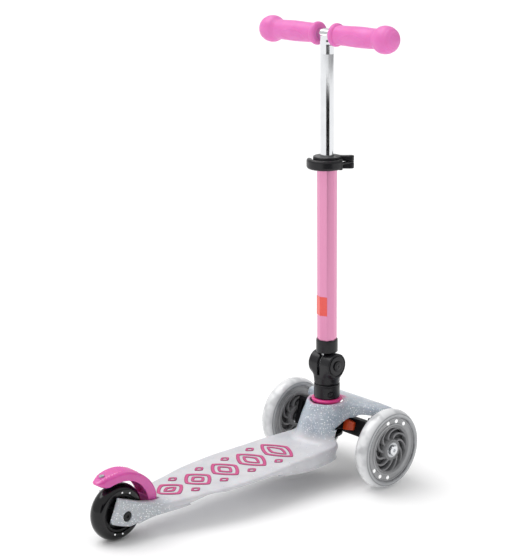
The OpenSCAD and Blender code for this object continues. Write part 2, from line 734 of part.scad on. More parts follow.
module hinge_yoke() {
    color([0.11, 0.11, 0.12]) difference() {
        union() {
            at_hinge() rod_y(barrel_r, -barrel_w/2, barrel_w/2);
            column() at_s(sleeve_s1 + 0.6) cylinder(r = neck_r, h = 9);
            column() at_s(sleeve_s1 + 9) intersection() {
                cylinder(r1 = neck_r, r2 = barrel_w/2, h = hinge_s - sleeve_s1 - 9);
                translate([-barrel_r, -30, 0]) cube([2*barrel_r, 60, 60]);
            }
        }
        column() at_s(sleeve_s1 - 1) cylinder(r = foot_r + fit, h = 7.3);
        // slit for the tongue: open above and to the rear
        at_hinge() {
            rod_y(tongue_r + 0.6, -slit_w/2, slit_w/2);
            translate([-40, -slit_w/2, 0]) cube([80, slit_w, 40]);
            translate([-40, -slit_w/2, -tongue_r]) cube([40, slit_w, 40]);
            rod_y(hinge_pin_r, -barrel_w/2 + 2, barrel_w/2 - 3);
            // recess and well for the button, and the seat of the left cap
            rod_y(barrel_r - 2, -barrel_w/2 - 1, -barrel_w/2 + 1.5);
            rod_y(hinge_button_r + fit, -barrel_w/2 - 1, -barrel_w/2 + 6);
            rod_y(9, barrel_w/2 - 2.5, barrel_w/2 + 1);
        }
    }
}

module hinge_pin() {
    color("silver") at_hinge() rod_y(hinge_pin_r, -barrel_w/2 + 7 + button_travel, barrel_w/2 - 3.2);
}

module hinge_cap() {
    color([0.09, 0.09, 0.1]) at_hinge() {
        difference() {
            rod_y(barrel_r - 2.15, -barrel_w/2, -barrel_w/2 + 1.5);
            rod_y(hinge_button_r + fit, -barrel_w/2 - 1, barrel_w/2);
        }
        rod_y(8.9, barrel_w/2 - 2.5, barrel_w/2);
    }
}

module hinge_button() {
    color([0.2, 0.2, 0.21]) at_hinge() difference() {
        rod_y(hinge_button_r, -barrel_w/2 - 2.2, -barrel_w/2 + 3.6);
        translate([2.5, 0, -1]) rod_y(1.1, -barrel_w/2 - 4, -barrel_w/2);
    }
}

module hinge_tongue() {
    color("silver") at_hinge() difference() {
        union() {
            rod_y(tongue_r, -tongue_t/2, tongue_t/2);
            translate([-9, -tongue_t/2, 0]) cube([18, tongue_t, upper_s0 - hinge_s + 2.4]);
        }
        rod_y(hinge_pin_r + fit, -20, 20);
    }
}

module hinge_sleeve() {
    color([0.12, 0.12, 0.13]) column() difference() {
        at_s(upper_s0) cylinder(r = upper_r, h = upper_s1 - upper_s0);
        at_s(tube_s0) cylinder(r = outer_tube_d/2 + fit, h = 40, $fn = 8);
        translate([-9, -tongue_t/2, upper_s0 - 1]) cube([18, tongue_t, 3.4]);
    }
}

// ---- telescopic column ----
module outer_tube() {
    color([0.86, 0.6, 0.73]) column() difference() {
        at_s(tube_s0) cylinder(r = outer_tube_d/2, h = tube_s1 - tube_s0, $fn = 8);
        at_s(tube_s0 - 1) cylinder(r = outer_bore_r, h = tube_s1 - tube_s0 + 2);
    }
}

module tube_label() {
    color([0.9, 0.3, 0.27]) column() at_s(label_s) difference() {
        intersection() {
            cylinder(r = outer_tube_d/2 + 0.3, h = label_h, $fn = 8);
            rotate(135) cube([30, 30, label_h]);
        }
        translate([0, 0, -1]) cylinder(r = outer_tube_d/2, h = 31, $fn = 8);
    }
}

module tube_bush() {
    color([0.2, 0.2, 0.2]) column() tube(outer_bore_r - fit/2, inner_tube_d/2 + fit, tube_s1 - 24, tube_s1);
}

module clamp_collar() {
    s0 = clamp_s - clamp_h/2;
    color([0.1, 0.1, 0.11]) column() difference() {
        union() {
            at_s(s0) cylinder(r = clamp_r, h = clamp_h + 3);
            rotate(lever_pivot_a) for (z = [s0 - 0.5, clamp_s + 3]) translate([0, 0, z]) {
                translate([12, -5, 0]) cube([lever_pivot - 12, 10, 8]);
                translate([lever_pivot, 0, 0]) cylinder(r = 5, h = 8);
            }
        }
        at_s(s0 - 2) cylinder(r = outer_tube_d/2 + fit, h = tube_s1 - s0 + 2.1, $fn = 8);
        at_s(s0 - 2) cylinder(r = inner_tube_d/2 + 2*fit, h = 60);
        rotate(lever_pivot_a) translate([lever_pivot, 0, s0 - 20]) cylinder(r = clamp_pin_r, h = 60);
        // split of the collar, which the lever draws together
        rotate(lever_pivot_a) translate([5, -0.8, s0 - 2]) cube([clamp_r - 6, 1.6, 60]);
    }
}

module clamp_pin() {
    color("silver") column() rotate(lever_pivot_a) translate([lever_pivot, 0, clamp_s - clamp_h/2 - 0.4])
        cylinder(r = clamp_pin_r, h = clamp_h + 3.4);
}

module clamp_lever() {
    s0 = clamp_s - clamp_h/2;
    band_in = clamp_r + 0.8;
    color([0.12, 0.12, 0.13]) column() difference() {
        union() {
            // band round the back of the collar
            at_s(s0) intersection() {
                difference() {
                    translate([-2.5, 0.5, 0]) cylinder(r = band_in + 6.5, h = clamp_h);
                    translate([0, 0, -1]) cylinder(r = band_in, h = clamp_h + 2);
                }
                linear_extrude(clamp_h)
                    polygon([[0, 0], [-28, 44], [-60, 30], [-60, -60], [4, -60], [4, -22]]);
            }
            // root between the collar's two ears
            rotate(lever_pivot_a) at_s(s0 + 7.5 + gap) linear_extrude(clamp_s + 3 - s0 - 7.5 - 2*gap) difference() {
                hull() {
                    translate([lever_pivot, 0]) circle(r = 4.8);
                    rotate(-38) translate([band_in + 3.2, 0]) circle(r = 3);
                }
                circle(r = band_in);
            }
            rotate(lever_pivot_a - 38) at_s(s0) difference() {
                translate([band_in + 3.2, 0, 0]) cylinder(r = 3, h = clamp_h);
                cylinder(r = band_in, h = clamp_h);
            }
        }
        rotate(lever_pivot_a) translate([lever_pivot, 0, s0 - 20]) cylinder(r = clamp_pin_r + fit, h = 60);
    }
}

module inner_tube() {
    color([0.8, 0.8, 0.82]) column() difference() {
        at_s(inner_s0) cylinder(r = inner_tube_d/2, h = bar_rise - inner_s0);
        at_s(inner_s0 - 1) cylinder(r = inner_tube_d/2 - inner_tube_wall, h = bar_rise - inner_s0 + 2);
        at_s(bar_rise) rod_y(crossbar_d/2 + 0.02, -40, 40);
    }
}

module guide_bush() {
    color([0.85, 0.85, 0.85]) column() difference() {
        union() {
            at_s(inner_s0 - 3) cylinder(r = outer_bore_r - 0.1, h = 3);
            at_s(inner_s0 - 3) cylinder(r = inner_tube_d/2 - inner_tube_wall, h = 15);
        }
        at_s(inner_s0 - 4) cylinder(r = inner_tube_d/2 - inner_tube_wall - 2, h = 30);
    }
}

module crossbar() {
    color([0.8, 0.8, 0.82]) column() at_s(bar_rise) difference() {
        rod_y(crossbar_d/2, -knob_y - 4, knob_y + 4);
        rod_y(crossbar_d/2 - 1.5, -knob_y - 5, knob_y + 5);
    }
}

grip_y0 = 14;
grip_profile = smooth([[flange_r - 2.5, grip_y0], [flange_r - 0.2, grip_y0 + 2.5], [flange_r, grip_y0 + 6],
    [flange_r - 1.4, grip_y0 + 8.6], [14, grip_y0 + 11], [14.3, grip_y0 + 30], [14.8, grip_y0 + 52],
    [14.2, knob_y - 20], [15.2, knob_y - 14.5], [knob_r - 0.9, knob_y - 8], [knob_r, knob_y],
    [knob_r*0.87, knob_y + knob_r*0.5], [knob_r*0.5, knob_y + knob_r*0.87], [0, knob_y + knob_r]]);

module grip() {
    color([0.91, 0.48, 0.76]) column() at_s(bar_rise) difference() {
        rotate([-90, 0, 0]) rotate_extrude() polygon(concat([[0, grip_y0]], grip_profile));
        rod_y(crossbar_d/2 + fit, 0, knob_y + 4.3);
    }
}
module grip_left() { grip(); }
module grip_right() { mirror([0, 1, 0]) grip(); }

deck_shell();
tread_pattern();
collar_ring();
front_housing();
wing_liners();
steering_beam();
beam_screws();
kingpins();
steering_elastomers();
foot_tube();
base_sleeve();
release_button();
hinge_yoke();
hinge_pin();
hinge_cap();
hinge_button();
hinge_tongue();
hinge_sleeve();
outer_tube();
tube_label();
tube_bush();
clamp_collar();
clamp_pin();
clamp_lever();
inner_tube();
guide_bush();
crossbar();
grip_left();
grip_right();
knuckle_left();
axle_bolt_left();
spacer_left();
tyre_left();
light_ring_left();
core_left();
bearings_left();
knuckle_right();
axle_bolt_right();
spacer_right();
tyre_right();
light_ring_right();
core_right();
bearings_right();
tie_rod();
tie_rod_pins();
rear_tyre();
rear_core();
rear_bearings();
rear_spacer();
rear_axle_bolt();
brake_fender();
brake_plate();
brake_rivet();
brake_pin();
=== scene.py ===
import math
import bmesh
import bpy
import numpy as np
from mathutils import Matrix, Vector


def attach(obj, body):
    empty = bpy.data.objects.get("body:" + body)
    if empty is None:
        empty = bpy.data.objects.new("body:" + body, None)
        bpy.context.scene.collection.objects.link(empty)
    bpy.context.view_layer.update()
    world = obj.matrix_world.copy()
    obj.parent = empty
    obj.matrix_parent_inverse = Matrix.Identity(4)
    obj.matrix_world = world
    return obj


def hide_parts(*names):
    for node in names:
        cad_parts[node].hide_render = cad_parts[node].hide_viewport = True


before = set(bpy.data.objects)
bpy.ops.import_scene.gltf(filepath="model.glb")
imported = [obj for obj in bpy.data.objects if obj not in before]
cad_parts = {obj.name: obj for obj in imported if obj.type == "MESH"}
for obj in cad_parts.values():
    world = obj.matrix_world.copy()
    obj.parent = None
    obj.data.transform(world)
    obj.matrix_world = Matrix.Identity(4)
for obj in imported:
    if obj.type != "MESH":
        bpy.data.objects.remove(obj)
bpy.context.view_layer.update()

# ---------------------------------------------------------------------------------------------
# Deck, hood, wings and rear fork: one injection moulding in milky, translucent polyamide with
# glitter in it. The deck is 6 mm thick with a deeper skirt in front, the hood and the wings are
# a 3 mm shell over the steering, and the fork holds the rear axle.
REAR_X, REAR_Z, FRONT_X, HOOD_X = -224.0, 40.0, 204.0, 174.0
COLUMN_X, COLUMN_Z, LEAN = 177.0, 111.3, math.radians(-2.75)
BRAKE_X, BRAKE_Z = -168.0, 41.0
FORK_IN, FORK_OUT = 15.5, 25.7
SHELL, SHELL_GRID = 3.0, 1.3


def curve_through(points, steps=4):
    """Points on a smooth line through the given ones, by the Catmull-Rom rule."""
    p = np.array(points, float)
    p = np.vstack([p[:1], p, p[-1:]])
    made = []
    for a, b, c, d in zip(p[:-3], p[1:-2], p[2:-1], p[3:]):
        for t in np.arange(steps) / steps:
            made.append(0.5 * (2 * b + (c - a) * t + (2 * a - 5 * b + 4 * c - d) * t**2
                               + (3 * b - a - 3 * c + d) * t**3))
    return np.array(made + [p[-1]])


def outline_gap(u, v, outline):
    """Distance of places (u, v) from a closed outline, below nought inside it."""
    nearest, inside = None, False
    for (au, av), (bu, bv) in zip(outline, np.roll(outline, -1, axis=0)):
        du, dv = bu - au, bv - av
        share = np.clip(((u - au) * du + (v - av) * dv) / max(du * du + dv * dv, 1e-9), 0, 1)
        far = (u - au - share * du) ** 2 + (v - av - share * dv) ** 2
        nearest = far if nearest is None else np.minimum(nearest, far)
        if dv:
            inside = inside ^ (((av > v) != (bv > v)) & (u < du * (v - av) / dv + au))
    return np.where(inside, -1.0, 1.0) * np.sqrt(nearest)


def soft_min(a, b, radius):
    share = np.clip(0.5 + 0.5 * (b - a) / radius, 0, 1)
    return b + (a - b) * share - radius * share * (1 - share)


def soft_max(a, b, radius):
    return -soft_min(-a, -b, radius)


def skin_of(solid, low, high, grid, settle=2):
    """Points and four-sided faces of the surface where solid(x, y, z) is nought, in mm.
    Each grid cell that the surface crosses gets one point, which is then settled on it."""
    lines = [np.arange(a, b + grid, grid) for a, b in zip(low, high)]
    depth = solid(lines[0][:, None, None], lines[1][None, :, None], lines[2][None, None, :])
    depth = np.broadcast_to(depth, [len(line) for line in lines])
    within = depth < 0
    shape = np.array(within.shape) - 1
    filled = np.zeros(shape, np.int8)
    for i, j, k in np.ndindex(2, 2, 2):
        filled += within[i:i + shape[0], j:j + shape[1], k:k + shape[2]]
    crossed = (filled > 0) & (filled < 8)
    number = np.full(shape, -1, np.int32)
    number[crossed] = np.arange(crossed.sum())
    cells = np.argwhere(crossed)
    total, hits = np.zeros(cells.shape), np.zeros(len(cells))
    for axis in range(3):
        step = np.eye(3, dtype=int)[axis]
        others = [np.eye(3, dtype=int)[(axis + 1) % 3], np.eye(3, dtype=int)[(axis + 2) % 3]]
        for i, j in np.ndindex(2, 2):
            near = cells + i * others[0] + j * others[1]
            d0, d1 = depth[tuple(near.T)], depth[tuple((near + step).T)]
            cut = (d0 < 0) != (d1 < 0)
            share = d0[cut] / (d0[cut] - d1[cut])
            total[cut] += near[cut] + share[:, None] * step
            hits[cut] += 1
    points = np.array(low) + grid * total / hits[:, None]
    faces = []
    for axis in range(3):
        step = np.eye(3, dtype=int)[axis]
        b, c = np.eye(3, dtype=int)[(axis + 1) % 3], np.eye(3, dtype=int)[(axis + 2) % 3]
        first = np.take(within, range(shape[axis]), axis)
        second = np.take(within, range(1, shape[axis] + 1), axis)
        edges = np.argwhere(first != second)
        clear = np.ones(len(edges), bool)
        for other in ((axis + 1) % 3, (axis + 2) % 3):
            clear &= (edges[:, other] > 0) & (edges[:, other] < shape[other])
        edges = edges[clear]
        quad = np.stack([number[tuple(e.T)] for e in (edges - b - c, edges - c, edges, edges - b)], 1)
        leaving = first[tuple(edges.T)]
        faces.append(np.where(leaving[:, None], quad, quad[:, ::-1]))
    for _ in range(settle):
        slope = np.zeros(points.shape)
        for axis in range(3):
            nudge = 0.05 * np.eye(3)[axis]
            slope[:, axis] = (solid(*(points + nudge).T) - solid(*(points - nudge).T)) / 0.1
        move = solid(*points.T) / np.maximum((slope**2).sum(1), 0.25)
        move = np.clip(move, -0.45 * grid, 0.45 * grid)
        points = points - move[:, None] * slope
    return points, np.vstack(faces)


def linear(code):
    """An sRGB hex colour as the linear colour that a shader takes."""
    parts = [int(code[i:i + 2], 16) / 255 for i in (1, 3, 5)]
    return tuple(c / 12.92 if c <= 0.04045 else ((c + 0.055) / 1.055) ** 2.4 for c in parts) + (1.0,)


def put(tree, kind, links=None, **settings):
    """Adds a node with its settings; links holds each socket's value, or what feeds it."""
    made = kind if isinstance(kind, bpy.types.Node) else tree.nodes.new(kind)
    for key, value in settings.items():
        setattr(made, key, value)
    for key, value in (links or {}).items():
        if isinstance(value, bpy.types.NodeSocket):
            tree.links.new(value, made.inputs[key])
        else:
            made.inputs[key].default_value = value
    return made


def finish(name):
    """A new material with its tree, its shader and the piece's own coordinates."""
    made = bpy.data.materials.new(name)
    made.use_nodes = True
    tree = made.node_tree
    return made, tree, tree.nodes["Principled BSDF"], put(tree, "ShaderNodeTexCoord").outputs["Object"]


def noise(tree, place, scale, detail, **more):
    """The value of a noise; the scale is in waves per metre."""
    links = {"Vector": place, "Scale": scale, "Detail": detail, **more}
    return put(tree, "ShaderNodeTexNoise", links).outputs[0]


def mix(tree, share, first, second):
    """A colour between two others, each a hex code or a socket."""
    first, second = (linear(c) if isinstance(c, str) else c for c in (first, second))
    links = {0: share, 6: first, 7: second}
    return put(tree, "ShaderNodeMix", links, data_type="RGBA").outputs[2]


def span(tree, value, low, high, start=0.0, end=1.0, **settings):
    """A value that goes from low to high while the given one goes from start to end."""
    links = {"Value": value, "From Min": start, "From Max": end, "To Min": low, "To Max": high}
    return put(tree, "ShaderNodeMapRange", links, **settings).outputs[0]


def bump(tree, strength, distance, height):
    links = {"Strength": strength, "Distance": distance, "Height": height}
    return put(tree, "ShaderNodeBump", links).outputs[0]


def make(name, points, faces, material, body, slot, replaces=(), crease=35.0, recalculate=False):
    """A piece from points in mm and faces, which rides on a body."""
    mesh = bpy.data.meshes.new(name)
    mesh.from_pydata((np.asarray(points) * 0.001).tolist(), [], [list(map(int, f)) for f in faces])
    if recalculate:
        work = bmesh.new()
        work.from_mesh(mesh)
        bmesh.ops.remove_doubles(work, verts=work.verts, dist=2e-6)
        bmesh.ops.recalc_face_normals(work, faces=work.faces)
        work.to_mesh(mesh)
        work.free()
    mesh.materials.append(material)
    mesh.shade_smooth()
    mesh.set_sharp_from_angle(angle=math.radians(crease))
    piece = bpy.data.objects.new(name, mesh)
    bpy.context.scene.collection.objects.link(piece)
    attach(piece, body)
    if replaces:
        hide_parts(*replaces)


def deck_top(x):
    return 47.1 + (x + 134.7) * 15.2 / 311.7


def under(x, depth):
    return x, deck_top(x) - depth


def mirrored(half):
    return np.vstack([half, half[::-1] * [1, -1]])


deck_outline = mirrored(curve_through([
    (-204, FORK_OUT), (-184, 26.9), (-158, 33.2), (-129, 40.2), (-104, 45), (-64, 53.5), (-10, 57),
    (14, 56.5), (59, 54), (94, 53), (126, 50.5), (150, 47.5), (157, 40.5), (164, 34), (171, 28),
    (178, 23), (184, 19.5), (186, 16), (186, 0)]))
deck_side = np.vstack([[under(-204, 0), under(188, 0)], curve_through([
    under(188, 6), under(172, 8), under(160, 18), under(144, 21), under(120, 21.5), under(80, 19.5),
    under(60, 16), under(40, 12), under(20, 8), under(-2, 6), under(-69, 6),
    (-94, 45), (-116, 40), (-142, 35), (-185, 30), (-204, 27)])])
fork_side = np.vstack([curve_through([(-235, 66.5), (-216, 60.2), (-204, 55.5), (-189, 51.4),
                                      (-174, 48), (-154, 46.5)], 3), [(-154, 36), (-185, 29)],
                       curve_through([(-204, 25), (-216, 23.3), (-226, 25.4), (-242, 32.4)], 3)])
hood_line = curve_through([(23.5, 117.5), (27.7, 108), (33.8, 97), (38.3, 84), (41.5, 73),
                           (44.5, 64), (47, 58)])[::-1]
wing_outline = mirrored(np.vstack([
    curve_through([(144, 0), (164, 25), (185, 35), (198, 52), (204, 66), (212, 75), (222, 77)]),
    curve_through([(246, 77), (255, 74), (260, 65), (261, 40), (259, 0)])]))
wing_section = np.vstack([curve_through([(142, 108.5), (174, 116), (206, 118.5), (228, 115),
                                         (246, 106.5), (257, 96.5), (261, 86.5)]),
                          [(261, 80), (142, 80)]])
wing_droop = np.vstack([[(-79, 84), (79, 84)], curve_through([
    (79, 108), (65, 114.5), (44, 118), (0, 119), (-44, 118), (-65, 114.5), (-79, 108)])])
arch_section = np.vstack([curve_through([(154, 40), (155, 60), (158, 72), (164, 82), (173, 89),
                                         (184, 93.5), (198, 95)]), [(290, 92), (290, 40)]])
arch_sides = np.vstack([curve_through([(34, 80), (38, 90), (45, 97), (56, 100.5), (90, 100.5)]),
                        [(90, 80)]])

def along_column(x, z):
    """Places across and along the column, from its foot."""
    across = (x - COLUMN_X) * math.cos(LEAN) - (z - COLUMN_Z) * math.sin(LEAN)
    along = (x - COLUMN_X) * math.sin(LEAN) + (z - COLUMN_Z) * math.cos(LEAN)
    return across, along


def moulding(x, y, z):
    side_y = np.abs(y)
    plan = outline_gap(x, y, deck_outline)
    side = outline_gap(x, z, deck_side)
    below = deck_top(x) - z
    deck = soft_max(plan, side, 4.0)
    lip = np.hypot(plan + 0.8, side + 0.8) - 1.9
    deck = soft_min(deck, np.maximum(lip, 10.0 - below), 1.0)
    rib = np.minimum(side_y, np.abs(side_y - 30)) - 1.5
    pocket = np.maximum(np.maximum(plan + 4, np.maximum(22 - x, x - 146)), np.maximum(6 - below, -rib))
    deck = soft_max(deck, -pocket, 1.0)
    # the end faces of the two arms slant: their inner edges reach further back
    slant = 0.6 * (FORK_OUT - side_y) * np.clip((66 - z) / 34, 0, 1) * np.clip((-222 - x) / 12, 0, 1)
    fork = soft_max(outline_gap(x + slant, z, fork_side), side_y - FORK_OUT, 5.0)
    body = soft_min(deck, fork, 5.0)
    ring = np.hypot(x - HOOD_X, y)
    hood = (ring - np.interp(z, hood_line[:, 1], hood_line[:, 0])) * 0.93
    hood = soft_max(hood, z - 117.5, 0.8)
    wings = soft_max(outline_gap(x, z, wing_section), outline_gap(x, y, wing_outline), 7.0)
    wings = soft_max(wings, outline_gap(y, z, wing_droop), 9.0)
    cover = soft_min(hood, wings, 16.0)
    arch = np.minimum(outline_gap(x, z, arch_section),
                      np.maximum(outline_gap(side_y, z, arch_sides), 144 - x))
    shell = soft_max(np.maximum(cover, -(cover + SHELL)), -arch, 1.2)
    shell = np.maximum(shell, 57.2 - z)
    body = soft_min(body, shell, 9.0)
    slot = np.maximum(side_y - FORK_IN, x + 188)
    slot = np.minimum(slot, np.hypot(np.maximum(x + 188, 0), y) - FORK_IN)
    recess = np.maximum(np.maximum(side_y - 14.7, np.abs(x + 175) - 15), 32 - z)
    body = soft_max(body, -np.minimum(slot, recess), 1.5)
    body = np.maximum(body, -np.maximum(np.hypot(x - BRAKE_X, z - BRAKE_Z) - 2.5, side_y - 20))
    axle = np.hypot(x - REAR_X, z - REAR_Z)
    body = np.maximum(body, -np.minimum(axle - 4.05, np.maximum(axle - 7.2, 22.7 - side_y)))
    across, along = along_column(x, z)
    bore = np.hypot(across, y)
    socket = np.minimum(np.maximum(bore - 17.55, along - 40), np.maximum(bore - 20.55, -8 - along))
    socket = np.minimum(socket, np.maximum(bore - 60, 5.5 - along))
    return np.maximum(body, -socket)


# Glittered polyamide: milky where it is solid, greyer over the hollow of the hood and wings, where
# the flakes show; that greyer tone is partly the glitter's own colour and partly painted shade of the
# hood's and wings' steep faces. The real flakes are 0.4 mm across; drawn at 1.6 mm so that they can be
# seen.
glitter_nylon, tree, shader, place = finish("glittered_translucent_polyamide")
axes = put(tree, "ShaderNodeSeparateXYZ", {0: place})
height = span(tree, axes.outputs["Z"], 0.0, 1.0, 0.064, 0.080, interpolation_type="SMOOTHSTEP")
arms = span(tree, axes.outputs["X"], 0.0, 1.0, -0.140, -0.180, interpolation_type="SMOOTHSTEP")
glittery = put(tree, "ShaderNodeMath", {0: height, 1: arms}, operation="MAXIMUM")
cloud = noise(tree, place, 38.0, 3.0, Roughness=0.55)
cloudy = span(tree, cloud, 0.0, 1.0, 0.3, 0.7)
milky = mix(tree, cloudy, "#C2C2C7", "#D0D0D4")
# the hollow tone is partly painted shade: the shade on the steep faces of the hood and wings, put into the
# colour by height
hollow = mix(tree, cloudy, "#929EAB", "#B2BAC3")
arm_tone = mix(tree, arms, milky, "#ADB2B7")
body_tone_and_painted_shade = mix(tree, height, arm_tone, hollow)
flakes = put(tree, "ShaderNodeTexVoronoi", {"Vector": place, "Scale": 520.0, "Randomness": 1.0})
flake_edge = span(tree, flakes.outputs["Distance"], 1.0, 0.0, 0.30, 0.50)
chance = put(tree, "ShaderNodeSeparateColor", {0: flakes.outputs["Color"]})
crowd = span(tree, glittery.outputs[0], 0.95, 0.47)
seen = put(tree, "ShaderNodeMath", {0: chance.outputs[0], 1: crowd}, operation="GREATER_THAN")
flake = put(tree, "ShaderNodeMath", {0: flake_edge, 1: seen.outputs[0]}, operation="MULTIPLY")
flake_tone = mix(tree, chance.outputs[1], "#B4BECB", "#FFFFFF")
speckled = mix(tree, flake.outputs[0], body_tone_and_painted_shade, flake_tone)
# painted glow: the collar ring's pink light in the plastic round it, painted as a pink tint that fades with
# distance from the ring
from_ring = put(tree, "ShaderNodeVectorMath", {0: place, 1: (0.177, 0.0, 0.119)}, operation="DISTANCE")
patchy = noise(tree, place, 48.0, 1.0)
spread = put(tree, "ShaderNodeMath", {0: patchy, 1: -0.018, 2: from_ring.outputs["Value"]},
             operation="MULTIPLY_ADD")
painted_ring_glow = span(tree, spread.outputs[0], 0.85, 0.0, 0.0125, 0.024, interpolation_type="SMOOTHSTEP")
tone_with_painted_glow = mix(tree, painted_ring_glow, speckled, "#D0428C")
satin = span(tree, flake.outputs[0], 0.34, 0.16)
grain = noise(tree, place, 700.0, 2.0)
relief = bump(tree, 0.05, 0.0004, grain)
put(tree, shader, {"Base Color": tone_with_painted_glow, "Roughness": satin, "IOR": 1.53,
                   "Subsurface Weight": 0.12, "Subsurface Scale": 0.004, "Coat Weight": 0.25,
                   "Coat Roughness": 0.12, "Normal": relief})

points, faces = skin_of(moulding, (-246, -82, 20), (265, 82, 122), SHELL_GRID)
make("deck_moulding", points, faces, glitter_nylon, "deck", "moulded_shell", ["deck_shell"], crease=60)

# ---------------------------------------------------------------------------------------------
# Anti-slip pattern on the deck: soft pink rubber bonded on, 0.8 mm high. Each motif is two nested
# rounded diamonds whose ridges have a raised bead along both edges.


def skin(rings, ends="cap"):
    """Joins rings of points; the ends are capped, joined to each other, or left for a pole."""
    rings = np.asarray(rings, float)
    count, around = rings.shape[:2]
    faces = []
    for i in range(count if ends == "join" else count - 1):
        a, b = i * around, (i + 1) % count * around
        faces += [(a + j, a + (j + 1) % around, b + (j + 1) % around, b + j) for j in range(around)]
    if ends == "cap":
        faces += [tuple(range(around))[::-1], tuple((count - 1) * around + j for j in range(around))]
    return rings.reshape(-1, 3), faces


def diamond(a, b, around=96):
    """A closed diamond with rounded corners, as a ring of points."""
    turn = np.linspace(0, 2 * math.pi, around, endpoint=False)
    c, s = np.cos(turn), np.sin(turn)
    reach = (np.abs(c / a) ** 1.25 + np.abs(s / b) ** 1.25) ** (-1 / 1.25)
    return np.stack([reach * c, reach * s], 1)


def ridge(centre, outer, inner):
    """A raised band between two diamonds, on the sloping deck."""
    rings = []
    for share, lift in [(0, -0.4), (0, 0.35), (0.06, 0.68), (0.14, 0.8), (0.24, 0.74), (0.32, 0.5),
                        (0.68, 0.5), (0.76, 0.74), (0.86, 0.8), (0.94, 0.68), (1, 0.35), (1, -0.4)]:
        flat = diamond(*outer) * (1 - share) + diamond(*inner) * share + centre
        rings.append(np.column_stack([flat, deck_top(flat[:, 0]) + lift]))
    return skin(rings, "join")


def gather(parts):
    """Several sets of points and faces as one."""
    points, faces, start = [], [], 0
    for some, joined in parts:
        points.append(some)
        faces += [tuple(start + int(i) for i in face) for face in joined]
        start += len(some)
    return np.vstack(points), faces


motifs = []
for i in range(5):
    at, wide = (REAR_X + 94 + 51 * i, 0), min(34, 22 + 3 * i)
    motifs.append(ridge(at, (22.4, wide), (16.4, wide - 7)))
    motifs.append(ridge(at, (11.4, wide - 13), (6.4, wide - 19)))
    if i < 4:
        for y in (-1, 1):
            motifs.append(ridge((at[0] + 25.5, y * (25 + 2 * i)), (8, 7), (3.4, 3)))

# Soft-touch thermoplastic rubber: matt, with a fine moulded grain of about 0.4 mm.
pink_rubber, tree, shader, place = finish("soft_moulded_rubber_pink")
patches = noise(tree, place, 120.0, 4.0)
tone = mix(tree, patches, "#BE3F7A", "#D2548F")
# painted shade: the ridges' sloping flanks are coloured dark pink by how far their normals turn from
# straight up
facing = put(tree, "ShaderNodeSeparateXYZ", {0: put(tree, "ShaderNodeTexCoord").outputs["Normal"]})
flank_painted_shade = span(tree, facing.outputs["Z"], 1.0, 0.0, 0.85, 0.98)
tone_with_painted_flank_shade = mix(tree, flank_painted_shade, tone, "#7E1F4E")
grit = noise(tree, place, 2400.0, 2.0)
relief = bump(tree, 0.25, 0.0002, grit)
put(tree, shader, {"Base Color": tone_with_painted_flank_shade, "Roughness": 0.55, "IOR": 1.5,
                   "Normal": relief})
make("tread_ridges", *gather(motifs), pink_rubber, "deck", "tread_pink", ["tread_pattern"],
     crease=50, recalculate=True)

# ---------------------------------------------------------------------------------------------
# Collar ring: a turned ring in clear hot-pink polycarbonate that sits in the top of the hood
# round the column's socket. The pink light that it lets into the plastic below it is a painted glow
# in the moulding's colour.


def rounded(profile, radius, steps=3, closed=True):
    """A profile with its corners rounded."""
    p = np.array(profile, float)
    made = []
    for i, here in enumerate(p):
        before, after = p[i - 1], p[(i + 1) % len(p)]
        if not closed and i in (0, len(p) - 1):
            made.append(here)
            continue
        r = min(radius, 0.45 * np.linalg.norm(before - here), 0.45 * np.linalg.norm(after - here))
        start = here + (before - here) / max(np.linalg.norm(before - here), 1e-9) * r
        end = here + (after - here) / max(np.linalg.norm(after - here), 1e-9) * r
        for t in np.linspace(0, 1, steps + 1):
            made.append((1 - t) ** 2 * start + 2 * t * (1 - t) * here + t**2 * end)
    return np.array(made)


def turned(profile, around=96):
    """Rings of points of a profile (radius, height) turned about the local Z axis."""
    turn = np.linspace(0, 2 * math.pi, around, endpoint=False)
    c, s = np.cos(turn), np.sin(turn)
    return np.array([np.column_stack([r * c, r * s, np.full(around, h)]) for r, h in profile])


def lathe(profile, around=96, ends="join"):
    """A turned shape: its points and faces."""
    return skin(turned(profile, around), ends)


def at(shape, *stands):
    """A shape carried out of its local frame, and on through the frames that hold that one."""
    points, faces = shape
    for stand in stands:
        points = np.asarray(points, float).reshape(-1, 3) @ stand[:3, :3].T + stand[:3, 3]
    return points, faces


def stand_at(origin, axes=np.eye(3)):
    """A local frame, by its origin and its axes as columns."""
    made = np.eye(4)
    made[:3, :3], made[:3, 3] = axes, origin
    return made


COLUMN = stand_at((COLUMN_X, 0, COLUMN_Z), [
    [math.cos(LEAN), 0, math.sin(LEAN)], [0, 1, 0], [-math.sin(LEAN), 0, math.cos(LEAN)]])

def two_tone(name, broad, first, second, rough, looks, fine=None, relief=0.0):
    """A material whose colour wanders between two tones with a broad noise. The fine noise, or
    else the broad one, drives the relief, and the roughness where that is a range."""
    made, tree, shader, place = finish(name)
    wander = noise(tree, place, *broad)
    grain = noise(tree, place, *fine) if fine else wander
    rough = span(tree, grain, *rough) if isinstance(rough, tuple) else rough
    put(tree, shader, {"Base Color": mix(tree, wander, first, second), "Roughness": rough, **looks})
    if relief:
        put(tree, shader, {"Normal": bump(tree, relief, 0.0002, grain)})
    return made


clear_pink = two_tone("tinted_polycarbonate_hot_pink", (60.0, 2.0), "#C92276", "#E23C92", 0.34,
                      {"IOR": 1.58, "Subsurface Weight": 0.3, "Subsurface Scale": 0.003})
shape = lathe(rounded([
    (17.55, -6), (20.5, -6), (20.5, 5.4), (23.2, 5.4), (23.0, 8.6), (21.5, 9.6), (17.55, 9.6)], 0.6))
make("collar_ring_turned", *at(shape, COLUMN), clear_pink, "deck", "collar_pink",
     ["collar_ring"], recalculate=True)

